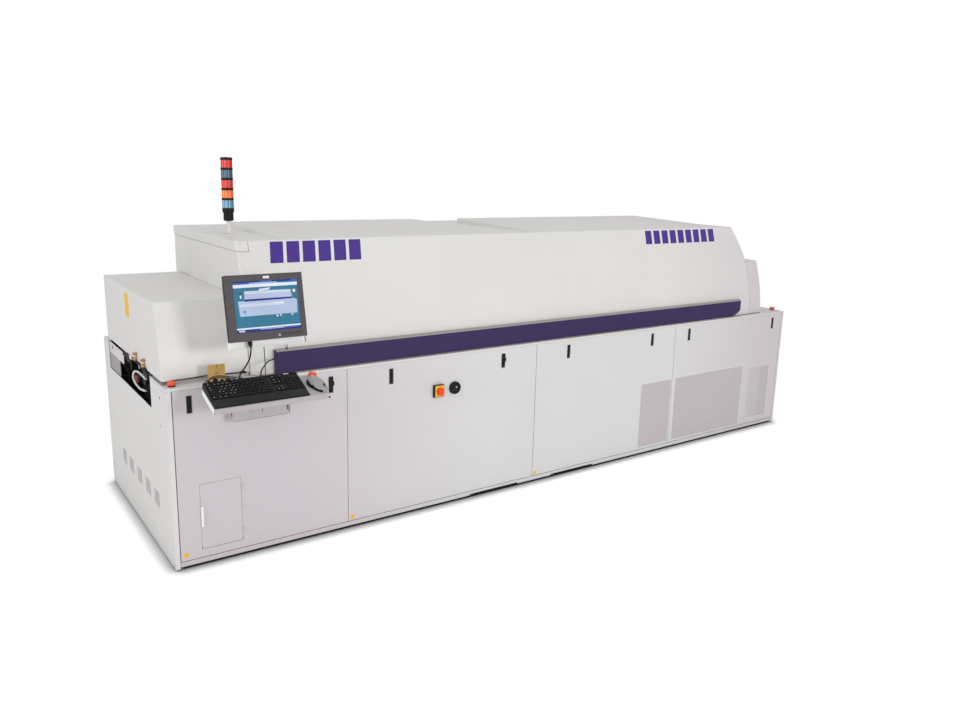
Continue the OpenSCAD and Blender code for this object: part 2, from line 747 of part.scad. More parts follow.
module hood_top_cap() color(white) machine() {
    difference() {
        curved_block(hood_x0, hood_x1, cap_z, hood_z, rear_housing_y1, 0);
        curved_block(hood_x0, hood_x1, cap_z - 1, hood_z - sheet, rear_housing_y1, sheet);
        skin_zone(-cap_seam);
        // Slot under the rear edge that lets it drop as the hood lifts
        intersection() {
            translate([hood_x0 + sheet, hinge_y, cap_z - 1])
                cube([far, far, hinge_z + hinge_slot - cap_z + 1]);
            end_zone(cap_z - 1, hood_z, sheet);
        }
    }
    // Hinge knuckles hang from the underside of the top
    for (x = hinge_x) translate([x - knuckle_w / 2, hinge_y, hinge_z]) difference() {
        union() {
            rod_x(hinge_ring_r, knuckle_w);
            translate([0, -10, 0]) cube([knuckle_w, 20, hood_z - sheet - hinge_z + 1]);
        }
        translate([-1, 0, 0]) rod_x(hinge_pin_r + running, knuckle_w + 2);
    }
}

// Two shallow lids that rise towards the rear, hollow underneath, with a walkway gap between them
module lid_outline(t) polygon([[t, -t], [t, lid_h[0] - t], [lid_y1 - lid_y0 - t, lid_h[1] - t],
    [lid_y1 - lid_y0 - t, -t]]);
module lid_block(x0, x1, t, ramp) intersection() {
    translate([x0 + t, lid_y0, hood_z]) push_x(x1 - x0 - 2 * t) lid_outline(t);
    // The far end slopes down over the length of the ramp
    translate([0, 0, hood_z]) push_y(far) polygon([[0, -far], [0, far], [x1 - ramp - t, far],
        [x1 - ramp - t, lid_h[1] - t], [x1 - t, -t], [x1 - t, -far]]);
}
module lid(x0, x1, ramp) difference() {
    lid_block(x0, x1, 0, ramp);
    lid_block(x0, x1, lid_sheet, ramp);
}
module hood_top_covers() color(white) machine() {
    lid(hood_x0 + 250, lid_gap_x[0], lid_ramp);
    lid(lid_gap_x[1], hood_x1 - hood_end_lean - 120, 0);
}

module hood_handle() color(purple) machine() translate([handle_x[0], curve_y - handle_t, handle_z[0]])
    push_y(handle_t - 0.5) difference() {
        square([handle_x[1] - handle_x[0], handle_z[1] - handle_z[0]]);
        translate([handle_x[1] - handle_x[0] - handle_corner[0], 0]) difference() {
            translate([0, -1]) square([handle_corner[0] + 1, handle_corner[1] + 1]);
            translate([0, handle_corner_r]) circle(handle_corner_r);
        }
    }

module tower_post() color(black) machine() translate([tower_pos[0], tower_pos[1], 0]) {
    translate([0, 0, hood_z]) cylinder(r = 28, h = 4);
    translate([0, 0, hood_z]) cylinder(r = tower_pole_r, h = tower_base[0] - hood_z + 1);
    translate([0, 0, tower_base[0]]) cylinder(r = tower_r - 5, h = tower_base[1] - tower_base[0]);
    for (k = [0:tower_segments]) translate([0, 0, tower_base[1] + k * tower_pitch - ring_h / 2])
        cylinder(r = tower_r + 1, h = ring_h);
    translate([0, 0, tower_base[1]]) cylinder(r = 6, h = tower_top - tower_base[1] - 4);
}

module tower_lenses() color(red) machine() translate([tower_pos[0], tower_pos[1], 0])
    for (k = [0:tower_segments - 1]) translate([0, 0, tower_base[1] + k * tower_pitch + ring_h / 2])
        difference() {
            cylinder(r = tower_r, h = tower_pitch - ring_h);
            translate([0, 0, -1]) cylinder(r = tower_r - 3, h = tower_pitch + 2);
        }

// Folded tray panel with its latch cups and vents
module front_panel(i, vents) {
    x0 = panel_split[i] + panel_gap / 2;
    w = panel_split[i + 1] - panel_split[i] - panel_gap;
    h = panel_top - panel_z;
    difference() {
        translate([x0, 0, panel_z]) difference() {
            union() {
                translate([0, 0, hem_r]) cube([w, panel_depth, h - hem_r]);
                translate([0, hem_r, 0]) cube([w, panel_depth - hem_r, h]);
                // The rounded lower edge is the line the panel tilts about
                translate([0, hem_r, hem_r]) rod_x(hem_r, w);
            }
            translate([panel_sheet, hem_r, panel_sheet])
                cube([w - 2 * panel_sheet, panel_depth, h - 2 * panel_sheet]);
            translate([panel_sheet, panel_sheet, 2 * hem_r])
                cube([w - 2 * panel_sheet, panel_depth, h - 2 * hem_r - panel_sheet]);
        }
        for (x = latch_x[i]) translate([x - latch_w / 2, -1, latch_z0])
            cube([latch_w, panel_sheet + 2, latch_h]);
        for (v = vents) translate([v[0], -1, v[2]])
            cube([v[1] - v[0], panel_sheet + 2, v[3] - v[2]]);
    }
    for (x = latch_x[i]) translate([x - latch_w / 2 - panel_sheet, panel_sheet, latch_z0 - panel_sheet])
        difference() {
            cube([latch_w + 2 * panel_sheet, latch_cup - panel_sheet, latch_h + 2 * panel_sheet]);
            translate([panel_sheet, -1, panel_sheet])
                cube([latch_w, latch_cup - 2 * panel_sheet + 1, latch_h]);
            translate([-1, latch_pivot - panel_sheet, latch_pivot + panel_sheet])
                rod_x(latch_pin_r + running, latch_w + 2 * panel_sheet + 2);
        }
    for (v = vents) translate([v[0] - 5, panel_sheet, v[2] - 5])
        cube([v[1] - v[0] + 10, vent_plate, v[3] - v[2] + 10]);
}

module front_panel_1() color(lilac) machine() difference() {
    front_panel(0, []);
    translate([hatch[0], -1, hatch[2]])
        cube([hatch[1] - hatch[0], panel_sheet + 2, hatch[3] - hatch[2]]);
}
module front_panel_2() color(lilac) machine() front_panel(1, []);
module front_panel_3() color(lilac) machine() front_panel(2, vents_3);
module front_panel_4() color(lilac) machine() front_panel(3, vents_4);

// Paddle lever that lies flush in its cup and turns out about its lower edge
module latch_lever(x) translate([x, 0, latch_z0 + latch_pivot]) {
    w = latch_w - 2 * latch_gap;
    translate([-w / 2, 1, -latch_pivot / 2]) cube([w, 7, latch_h - latch_pivot]);
    translate([-latch_w / 2 - panel_sheet / 2, latch_pivot, 0]) rod_x(latch_pin_r, latch_w + panel_sheet);
}
module latch_levers(i) for (x = latch_x[i]) latch_lever(x);
module latch_levers_1() color(black) machine() latch_levers(0);
module latch_levers_2() color(black) machine() latch_levers(1);
module latch_levers_3() color(black) machine() latch_levers(2);
module latch_levers_4() color(black) machine() latch_levers(3);

module access_hatch() color(lilac) machine() {
    hatch_h = hatch[3] - hatch[2] - 2 * hatch_gap;
    translate([hatch[0] + hatch_gap, 0, hatch[2] + hatch_gap])
        cube([hatch[1] - hatch[0] - 2 * hatch_gap - hatch_t / 2, hatch_t, hatch_h]);
    // Round edge that it swings about
    translate([hatch[1] - hatch_gap - hatch_t / 2, hatch_t / 2, hatch[2] + hatch_gap])
        cylinder(r = hatch_t / 2, h = hatch_h);
    // Pull strip on the free edge
    translate([hatch[0] + hatch_gap, -6, 207]) cube([9, 6, 96]);
}

// Children placed on the sloping top of the tray, at a distance up from its front edge
module on_tray(x, up) translate([0, tray_front, tray_z]) rotate([tray_tilt, 0, 0])
    translate([x, up, tray_play]) children();

// Height of the underside of the tray
function tray_under(y) = tray_z - tray_t / cos(tray_tilt) + (y - tray_front) * tan(tray_tilt);

// Sloping shelf on two webs, with a pocket below it on the panel
module keyboard_tray() color(white) machine() {
    on_tray(tray_x[0], 0) translate([0, 0, -tray_play - tray_t]) linear_extrude(tray_t)
        rounded_rect(tray_x[1] - tray_x[0], tray_depth, tray_corner);
    translate([pocket_x[0], -60, pocket_z[0]]) difference() {
        cube([pocket_x[1] - pocket_x[0], 59.5, pocket_z[1] - pocket_z[0]]);
        translate([2, 2, 2]) cube([pocket_x[1] - pocket_x[0] - 4, 55, pocket_z[1] - pocket_z[0]]);
    }
    for (x = web_x) translate([x, 0, 0]) push_x(4) polygon([[-0.5, 790], [-0.5, 880],
        [web_y[1], tray_under(web_y[1]) + 2], [web_y[0], tray_under(web_y[0]) + 2],
        [web_y[0], tray_under(web_y[0]) - 6]]);
    on_tray(estop_tray_site[0], estop_tray_site[1]) translate([0, 0, -tray_play]) estop_base_ring();
}

module estop_base_ring() difference() {
    cylinder(r = estop_base / 2, h = estop_base_h);
    translate([0, 0, -1]) cylinder(r = estop_stem_r + running, h = estop_base_h + 2);
}

// Stem and mushroom head standing over a base ring
module estop_button() {
    translate([0, 0, 6]) cylinder(r = estop_stem_r, h = estop_base_h + estop_gap - 5);
    translate([0, 0, estop_base_h + estop_gap]) rotate_extrude() difference() {
        square([estop_head_r, estop_head_h]);
        translate([estop_head_r - 5, estop_head_h - 5]) difference() {
            square([6, 6]);
            circle(5);
        }
    }
}

module estop_bases() color(black) machine()
    for (s = estop_sites) translate([s[0], s[1], cabinet_h]) estop_base_ring();
module estop_infeed() color(red) machine()
    translate([estop_sites[0][0], estop_sites[0][1], cabinet_h]) estop_button();
module estop_outfeed() color(red) machine()
    translate([estop_sites[1][0], estop_sites[1][1], cabinet_h]) estop_button();
module estop_front() color(red) machine()
    on_tray(estop_tray_site[0], estop_tray_site[1]) translate([0, 0, -tray_play]) estop_button();

module keyboard() color(black) machine() on_tray(kb_pos[0], kb_pos[1]) push_x(kb_w)
    polygon([[0, 0], [kb_depth, 0], [kb_depth, kb_h[1]], [0, kb_h[0]]]);

module mouse() color(steel) machine() on_tray(mouse_pos[0], mouse_pos[1]) rotate([0, 0, mouse_turn])
    intersection() {
        translate([-mouse_size[0] / 2, -mouse_size[1] / 2, 0]) cube(mouse_size);
        translate([0, 0, mouse_size[2] - mouse_side_r]) rotate([90, 0, 0])
            cylinder(r = mouse_side_r, h = mouse_size[1], center = true);
        translate([-mouse_size[0] / 2, 0, mouse_size[2] - mouse_back_r]) rod_x(mouse_back_r, mouse_size[0]);
    }

module main_switch_plate() color("orange") machine() {
    translate([switch_pos[0] - switch_plate[0] / 2, -switch_plate[2], switch_pos[1] - switch_plate[1] / 2])
        cube([switch_plate[0], switch_plate[2] - 0.1, switch_plate[1]]);
    translate([socket_pos[0], -10, socket_pos[1]]) rod_y(socket_r, 9.9);
}

module main_switch_knob() color(red) machine() translate([switch_pos[0], 0, switch_pos[1]]) {
    translate([0, -switch_plate[2] - 10, 0]) rod_y(knob_r, 9.5);
    translate([-knob_bar[0] / 2, -switch_plate[2] - 26, -knob_bar[1] / 2])
        cube([knob_bar[0], 17, knob_bar[1]]);
}

// Arm on the infeed cover with the fork and the round pivot that the screen tilts on
module monitor_bracket() color(white) machine() translate([arm_x, 0, 0]) {
    difference() {
        translate([0, infeed_cover_y + 20, arm_foot_z[0]])
            cube([arm_w, infeed_cover_lean, arm_foot_z[1] - arm_foot_z[0]]);
        translate([-1, 0, 0]) push_x(arm_w + 2) infeed_outline(-0.5, 0);
    }
    translate([10, fork_back_y, arm_z[0]])
        cube([arm_w - 20, infeed_cover_y + 21 - fork_back_y, arm_z[1] - arm_z[0]]);
    translate([0, fork_back_y, arm_z[0]]) cube([arm_w, fork_t, screen_pos[2] + fork_h - arm_z[0]]);
    for (x = [0, arm_w - fork_t]) translate([x, screen_pivot_y - 10, screen_pos[2] - fork_h])
        cube([fork_t, fork_back_y + 11 - screen_pivot_y, 2 * fork_h]);
    translate([-6, screen_pivot_y, screen_pos[2]]) rod_x(screen_pivot_r, arm_w + 12);
}

module monitor() color("dimgray") machine() {
    translate(screen_pos) rotate([-screen_lean, 0, 0]) {
        translate([-screen_w / 2, -screen_t / 2, -screen_h / 2]) cube([screen_w, screen_body_t, screen_h]);
        // Rear plate, set off downwards
        translate([-screen_w / 2, screen_body_t - screen_t / 2, -screen_h / 2 - screen_plate_drop])
            cube([screen_w, sheet, screen_h]);
    }
    for (x = [12, arm_w - 20]) translate([arm_x + x, screen_pivot_y, screen_pos[2]]) difference() {
        translate([0, -30, -12]) cube([8, 42, 24]);
        translate([-1, 0, 0]) rod_x(screen_pivot_r + running, 10);
    }
}

base_frame();
levelling_feet();
infeed_end_panel();
outfeed_end_panel();
rear_panels();
top_deck();
infeed_cover();
outfeed_cover();
rear_housing();
lower_tunnel();
lower_diffusers();
lower_blowers();
electrical_cabinet();
hood_hinges();
conveyor_supports();
fixed_rail();
fixed_chain();
conveyor_motor();
mesh_belt();
monitor_bracket();
estop_bases();
lift_actuators();
drive_shaft();
drive_sprocket();
idler_sprocket_fixed();
idler_sprocket_moving();
moving_rail();
moving_chain();
lead_screw_infeed();
lead_screw_outfeed();
belt_drive_roller();
belt_idler_roller();
lift_rods();
hood_shell();
hood_top_cap();
hood_top_covers();
hood_handle();
upper_tunnel();
upper_diffusers();
upper_blowers();
tower_post();
tower_lenses();
front_panel_1();
front_panel_2();
front_panel_3();
front_panel_4();
latch_levers_1();
latch_levers_2();
latch_levers_3();
latch_levers_4();
access_hatch();
keyboard_tray();
keyboard();
mouse();
main_switch_plate();
main_switch_knob();
estop_infeed();
estop_front();
estop_outfeed();
monitor();
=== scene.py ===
"""Looks of the inline reflow oven: materials for its CAD nodes, and pieces that the CAD leaves plain."""
import math
import random

import bmesh
import bpy
from mathutils import Matrix, Vector


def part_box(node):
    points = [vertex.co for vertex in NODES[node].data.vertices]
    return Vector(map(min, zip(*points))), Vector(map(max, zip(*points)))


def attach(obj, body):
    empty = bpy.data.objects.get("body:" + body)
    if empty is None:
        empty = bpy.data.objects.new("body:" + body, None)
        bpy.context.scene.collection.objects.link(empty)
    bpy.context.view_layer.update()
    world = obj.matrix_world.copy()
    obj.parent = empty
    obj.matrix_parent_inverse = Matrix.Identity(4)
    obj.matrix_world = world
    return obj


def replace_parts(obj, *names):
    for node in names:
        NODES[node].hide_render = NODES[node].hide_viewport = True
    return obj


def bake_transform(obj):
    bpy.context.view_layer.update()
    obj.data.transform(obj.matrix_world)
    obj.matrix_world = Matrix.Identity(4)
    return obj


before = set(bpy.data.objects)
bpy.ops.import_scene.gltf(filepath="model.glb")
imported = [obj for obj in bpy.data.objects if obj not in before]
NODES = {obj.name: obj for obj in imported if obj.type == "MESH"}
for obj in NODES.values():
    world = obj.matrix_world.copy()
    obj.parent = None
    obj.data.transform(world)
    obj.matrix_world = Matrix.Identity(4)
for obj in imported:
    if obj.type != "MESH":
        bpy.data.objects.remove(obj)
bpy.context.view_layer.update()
random.seed(7)
MM = 0.001

# The infeed end and the cabinet's front face, from which places are counted
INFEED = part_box("infeed_end_panel")[0].x
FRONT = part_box("front_panel_2")[0].y
HOOD_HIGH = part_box("hood_top_cap")[1].z
# The hood's front leans back from this height, by this much at the top, in metres
CURVE_START, CURVE_LEAN, CURVE_POWER, CURVE_FOOT = 0.950, 0.178, 1.6, 0.042
# In millimetres: outfeed end, top of the deck, rear panels, rear housing, gaps between the front panels
END, DECK, REAR, HOUSING = 4650, 905, 1370, 1330
GAPS = (905, 2174, 3416)
RIGHT, UP, FORWARD, REARWARD = (1, 0, 0), (0, 0, 1), (0, -1, 0), (0, 1, 0)
LEFT = (-1, 0, 0)


def at(x, y, z):
    """A point in millimetres from the infeed end, the front face and the floor, in the row frame."""
    return Vector((INFEED + x * MM, FRONT + y * MM, z * MM))


def moved(x, y, z):
    """A shift in millimetres, as a matrix."""
    return Matrix.Translation(Vector((x, y, z)) * MM)


def tilted(degrees, axis="X"):
    return Matrix.Rotation(math.radians(degrees), 4, axis)


ROOM = Matrix.Translation(at(0, 0, 0))


def hood_front(z):
    """Depth of the hood's front skin at height z, both in metres."""
    rise = max(0.0, (z - CURVE_START) / (HOOD_HIGH - CURVE_START))
    return FRONT + CURVE_FOOT + CURVE_LEAN * rise ** CURVE_POWER


# ---------------------------------------------------------------- materials

def node_material(name):
    material = bpy.data.materials.new(name)
    material.use_nodes = True
    tree = material.node_tree
    return material, tree, tree.nodes["Principled BSDF"]


def plug(tree, value, target):
    """Joins a socket to an input, or sets the input to a plain value. A colour has three channels."""
    if isinstance(value, bpy.types.NodeSocket):
        tree.links.new(value, target)
    elif target.type == "RGBA":
        target.default_value = (*value, 1)
    else:
        target.default_value = value


def set_inputs(tree, node, **inputs):
    """Sets or joins a node's inputs by name, with underscores for spaces."""
    for name, value in inputs.items():
        plug(tree, value, node.inputs[name.replace("_", " ")])


def add_node(tree, kind, **inputs):
    node = tree.nodes.new(kind)
    set_inputs(tree, node, **inputs)
    return node


def maths(tree, operation, first, second=0.5):
    node = tree.nodes.new("ShaderNodeMath")
    node.operation = operation
    plug(tree, first, node.inputs[0])
    plug(tree, second, node.inputs[1])
    return node.outputs["Value"]


def stretch(tree, value, start, end, low=0.0, high=1.0, interpolation="LINEAR"):
    """A value that runs from low to high while the given one runs from start to end."""
    node = add_node(tree, "ShaderNodeMapRange", Value=value,
                    From_Min=start, From_Max=end, To_Min=low, To_Max=high)
    node.interpolation_type = interpolation
    return node.outputs["Result"]


def split_axes(tree, vector):
    return add_node(tree, "ShaderNodeSeparateXYZ", Vector=vector).outputs


def object_coords(tree, scale=(1, 1, 1), rotation=(0, 0, 0)):
    coords = tree.nodes.new("ShaderNodeTexCoord").outputs["Object"]
    mapping = add_node(tree, "ShaderNodeMapping", Vector=coords, Scale=scale, Rotation=rotation)
    return mapping.outputs["Vector"]


def noise(tree, scale, detail, grain=(1, 1, 1)):
    """Noise spread over 0 to 1, pulled out along the axes by a grain."""
    place = object_coords(tree, grain)
    return add_node(tree, "ShaderNodeTexNoise", Vector=place, Scale=scale, Detail=detail).outputs["Fac"]


def uneven(tree, pattern, low, high):
    """The middle of a noise pattern as values from low to high."""
    return stretch(tree, pattern, 0.3, 0.7, low, high)


def mix_colours(tree, factor, first, second):
    node = tree.nodes.new("ShaderNodeMix")
    node.data_type = "RGBA"
    set_inputs(tree, node, Factor=factor, A=first, B=second)
    return node.outputs["Result"]


def shade(colour, factor):
    return tuple(min(1.0, channel * factor) for channel in colour)


def mottled(tree, colour, pattern, dark, light):
    """A colour that drifts between two shades of itself."""
    return mix_colours(tree, uneven(tree, pattern, 0.0, 1.0), shade(colour, dark), shade(colour, light))


def bump(tree, height, distance, strength):
    node = add_node(tree, "ShaderNodeBump", Height=height, Distance=distance, Strength=strength)
    return node.outputs["Normal"]


def edge_wear(tree, width):
    """A mask that is bright on worn outer edges."""
    bevelled = add_node(tree, "ShaderNodeBevel", Radius=width)
    bevelled.samples = 4
    dot = tree.nodes.new("ShaderNodeVectorMath")
    dot.operation = "DOT_PRODUCT"
    plug(tree, bevelled.outputs["Normal"], dot.inputs[0])
    plug(tree, tree.nodes.new("ShaderNodeNewGeometry").outputs["Normal"], dot.inputs[1])
    return stretch(tree, dot.outputs["Value"], 0.99, 0.90)


def along_row(tree, middle, near, far):
    """0 near a place along the oven, rising to 1 far from it, in metres."""
    place = split_axes(tree, tree.nodes.new("ShaderNodeTexCoord").outputs["Object"])["X"]
    offset = maths(tree, "ABSOLUTE", maths(tree, "SUBTRACT", place, middle))
    return stretch(tree, offset, near, far, interpolation="SMOOTHSTEP")


def powder_coat(name, colour, roughness=0.42, shaded_ends=None, coat=0.1):
    """Sprayed coating: orange peel, faint drifts of tone, slightly uneven gloss, and painted shade that tints
    it a darker lilac towards the ends of the oven.
    """
    material, tree, bsdf = node_material(name)
    base = mottled(tree, colour, noise(tree, 1.7, 4.0), 0.98, 1.015)
    if shaded_ends:
        shaded_tint, place = shaded_ends
        # Painted shade: a darker lilac tone mixed in away from a middle place along the oven
        base = mix_colours(tree, along_row(tree, *place), base, shaded_tint)
    set_inputs(tree, bsdf, Base_Color=base, Coat_Weight=coat, Coat_Roughness=0.25, Specular_IOR_Level=0.3,
               Roughness=uneven(tree, noise(tree, 11.0, 5.0), roughness - 0.04, roughness + 0.05),
               Normal=bump(tree, noise(tree, 620.0, 2.0), 0.00012, 0.5))
    return material


def metal(name, colour, roughness=0.35, grain=(1, 60, 60)):
    """Brushed or plated metal: grain along the first axis, cloudy plating."""
    material, tree, bsdf = node_material(name)
    set_inputs(tree, bsdf, Metallic=1.0,
               Base_Color=mottled(tree, colour, noise(tree, 18.0, 6.0, grain), 0.82, 1.12),
               Roughness=uneven(tree, noise(tree, 40.0, 4.0, grain), roughness - 0.1, roughness + 0.12),
               Normal=bump(tree, noise(tree, 90.0, 4.0, grain), 0.00008, 0.6))
    return material


def plastic(name, colour, roughness=0.45, grain=0.0001, scale=900.0, coat=0.0, worn=0.06):
    """Moulded plastic: fine spark texture, edges polished a little lighter by use."""
    material, tree, bsdf = node_material(name)
    lighter = tuple(channel + (0.6 - channel) * worn for channel in colour)
    set_inputs(tree, bsdf, Base_Color=mix_colours(tree, edge_wear(tree, 0.0012), colour, lighter),
               Roughness=uneven(tree, noise(tree, 60.0, 4.0), roughness - 0.06, roughness + 0.08),
               Coat_Weight=coat, Specular_IOR_Level=0.22,
               Normal=bump(tree, noise(tree, scale, 2.0), grain, 0.5))
    return material


def clear_lens(name, colour, bright):
    """Tinted lens with painted light: flanks painted dark as shade, and two upright painted highlights that
    turn with the view, standing for what its inner prisms throw back. It glows faintly with this painted
    pattern.
    """
    material, tree, bsdf = node_material(name)
    normal = tree.nodes.new("ShaderNodeNewGeometry").outputs["Normal"]
    turned = add_node(tree, "ShaderNodeVectorTransform", Vector=normal)
    turned.vector_type = "NORMAL"
    turned.convert_from, turned.convert_to = "WORLD", "CAMERA"
    across = stretch(tree, split_axes(tree, turned.outputs["Vector"])["X"], -1, 1)
    ramp = add_node(tree, "ShaderNodeValToRGB", Fac=across)
    # Painted shade on the flanks and two painted highlight streaks, placed by which way the surface faces the
    # camera
    stops = ((0.0, shade(colour, 0.45)), (0.2, colour), (0.33, colour), (0.39, bright), (0.46, colour),
             (0.56, colour), (0.63, bright), (0.70, colour), (0.84, shade(colour, 0.8)),
             (1.0, shade(colour, 0.4)))
    ramp.color_ramp.elements[0].color = (*stops[0][1], 1)
    ramp.color_ramp.elements[-1].color = (*stops[-1][1], 1)
    for place, tone in stops[1:-1]:
        ramp.color_ramp.elements.new(place).color = (*tone, 1)
    painted_streaks = ramp.outputs["Color"]
    set_inputs(tree, bsdf, Base_Color=painted_streaks, Emission_Color=painted_streaks, Emission_Strength=0.42, Roughness=0.2,
               Transmission_Weight=0.3, IOR=1.46, Specular_IOR_Level=0.2)
    return material


def glowing(name, colour, strength):
    """Lit screen pixels, a little uneven as a real backlight is."""
    material, tree, bsdf = node_material(name)
    set_inputs(tree, bsdf, Base_Color=shade(colour, 0.2), Roughness=0.5, Specular_IOR_Level=0.1,
               Emission_Color=mottled(tree, colour, noise(tree, 9.0, 2.0), 0.93, 1.05),
               Emission_Strength=strength)
    return material


def mesh_weave(name):
    """Stainless wire mesh seen flat: crossing ridges with dark gaps."""
    material, tree, bsdf = node_material(name)
    slants = [object_coords(tree, rotation=(0, 0, turn)) for turn in (0.785, -0.785)]
    ridges = [add_node(tree, "ShaderNodeTexWave", Vector=slant, Scale=55.0) for slant in slants]
    top = maths(tree, "MAXIMUM", *(ridge.outputs["Fac"] for ridge in ridges))
    set_inputs(tree, bsdf, Metallic=1.0, Roughness=0.38, Normal=bump(tree, top, 0.0015, 0.8),
               Base_Color=mix_colours(tree, top, (0.05, 0.05, 0.05), (0.6, 0.6, 0.62)))
    return material


# The white and lilac coats carry painted shade: a darker lilac tint towards the ends of the oven
WHITE = powder_coat("coat_white", (0.765, 0.755, 0.735), shaded_ends=((0.71, 0.665, 0.672), (-0.6, 1.6, 2.9)))
LILAC = powder_coat("coat_lilac", (0.735, 0.725, 0.73), shaded_ends=((0.655, 0.60, 0.625), (0.25, 0.7, 2.1)))
PURPLE = powder_coat("coat_purple", (0.036, 0.018, 0.092), 0.5, coat=0.0)
# The tray's coat is the lilac coat darkened as painted shade on the tilted tray
SHADED_TRAY_COAT = powder_coat("coat_tray_painted_shade", (0.52, 0.48, 0.488))
DARK = powder_coat("coat_black", (0.004, 0.004, 0.0045), 0.6, coat=0.0)
ZINC = metal("zinc_plate", (0.52, 0.53, 0.52), 0.42, (1, 1, 1))
STAINLESS = metal("stainless_brushed", (0.56, 0.57, 0.58), 0.3)
ALUMINIUM = metal("aluminium_anodised", (0.66, 0.66, 0.67), 0.36)
BRASS_PLATE = powder_coat("plate_gold", (0.52, 0.33, 0.10), 0.48)
BLACK = plastic("plastic_black", (0.007, 0.007, 0.0075), 0.42, worn=0.03)
KEYS = plastic("plastic_keys", (0.006, 0.006, 0.0065), 0.42, 0.00006, 1400.0)
STRIP = plastic("plastic_palm_strip", (0.017, 0.018, 0.0185), 0.5)
BEZEL = plastic("plastic_bezel", (0.085, 0.073, 0.080), 0.5)
SILVER = plastic("plastic_silver", (0.33, 0.33, 0.335), 0.3, 0.00003, 1600.0, 0.3, 0.1)
RED = plastic("plastic_red", (0.93, 0.075, 0.012), 0.33, 0.00004, 900.0, 0.4, 0.08)
YELLOW = plastic("plastic_yellow", (0.90, 0.52, 0.045), 0.4, 0.00005)
RUBBER = plastic("rubber_black", (0.016, 0.016, 0.016), 0.75, 0.00025, 500.0)
LABEL = plastic("label_amber", (0.93, 0.54, 0.015), 0.45, 0.00002)
PALE = plastic("plastic_pale", (0.75, 0.76, 0.76), 0.4)
LIP = powder_coat("coat_warm_grey", (0.33, 0.30, 0.285), 0.4)
SEAL = plastic("seal_straw", (0.58, 0.55, 0.33), 0.6)
SEAM = plastic("seam_shadow", (0.05, 0.05, 0.052), 0.8)
SOFT_SEAM = powder_coat("seam_soft", (0.56, 0.55, 0.535), 0.5)
WEAVE = mesh_weave("wire_mesh")
PURPLE_PRINT = plastic("print_purple", (0.075, 0.035, 0.27), 0.4, 0.00001)
# Near black: painted shade on the screen's side shell and round its picture, and the own colour of its
# buttons and hinge blades
SHADED_SIDE_AND_BUTTONS = plastic("screen_shaded_side_and_buttons", (0.012, 0.012, 0.013), 0.5)
BLACK_CABLE = plastic("cable_black", (0.02, 0.02, 0.021), 0.5, 0.00003)
LED_GREEN = glowing("led_window", (0.55, 0.60, 0.42), 0.55)
MARK_DIM = plastic("mark_grey", (0.13, 0.13, 0.135), 0.5)
RIM_SHADE = powder_coat("rim_shade", (0.36, 0.34, 0.35), 0.5)
PERF = powder_coat("coat_insert", (0.625, 0.57, 0.595), 0.5)
PERF_LIGHT = powder_coat("coat_insert_light", (0.68, 0.645, 0.665), 0.5)
PERF_BACK = powder_coat("insert_shadow", (0.50, 0.455, 0.475), 0.6)
# A brighter copy of the white coat: painted highlight on white plates and edges that catch the light
LIT_WHITE = powder_coat("coat_white_painted_highlight", (0.95, 0.945, 0.93), 0.5)
COPPER = metal("copper_cap", (0.58, 0.27, 0.13), 0.35, (1, 1, 1))
RUST = plastic("sensor_rust", (0.45, 0.10, 0.03), 0.5)
# The base frame is painted near black as the shade under the skirt, where it shows through the gap
FRAME_SHADE = powder_coat("frame_painted_shade", (0.10, 0.10, 0.105), 0.5)
LEDGE = powder_coat("coat_ledge", (0.70, 0.675, 0.665), 0.5)
BRACKET = powder_coat("coat_bracket", (0.36, 0.335, 0.36), 0.5)
# Each lens colour, then the colour of its painted highlight streaks
LENS_RED = clear_lens("lens_red", (0.62, 0.022, 0.015), (0.95, 0.30, 0.22))
LENS_ORANGE = clear_lens("lens_orange", (0.85, 0.17, 0.045), (0.98, 0.48, 0.25))
LENS_BLUE = clear_lens("lens_blue", (0.10, 0.27, 0.42), (0.55, 0.75, 0.85))
LENS_SMOKE = clear_lens("lens_smoke", (0.055, 0.10, 0.16), (0.25, 0.37, 0.47))

NODE_MATERIALS = {
    WHITE: "infeed_end_panel outfeed_end_panel rear_panels top_deck infeed_cover "
           "rear_housing monitor_bracket hood_shell hood_top_cap hood_top_covers",
    LILAC: "outfeed_cover front_panel_1 front_panel_2 front_panel_3 front_panel_4 access_hatch",
    PURPLE: "hood_handle",
    DARK: "conveyor_supports conveyor_motor drive_sprocket idler_sprocket_fixed idler_sprocket_moving",
    FRAME_SHADE: "base_frame",
    ZINC: "lower_blowers upper_blowers electrical_cabinet hood_hinges lift_actuators",
    STAINLESS: "lower_tunnel upper_tunnel lower_diffusers upper_diffusers fixed_chain moving_chain "
               "drive_shaft lead_screw_infeed lead_screw_outfeed belt_drive_roller belt_idler_roller "
               "lift_rods",
    ALUMINIUM: "fixed_rail moving_rail",
    BLACK: "tower_post latch_levers_1 latch_levers_2 latch_levers_3 latch_levers_4 estop_bases "
           "main_switch_plate",
    RUBBER: "levelling_feet",
    RED: "estop_infeed estop_front estop_outfeed main_switch_knob tower_lenses",
    WEAVE: "mesh_belt",
    BEZEL: "monitor",
    KEYS: "keyboard",
    SILVER: "mouse",
    SHADED_TRAY_COAT: "keyboard_tray",
}

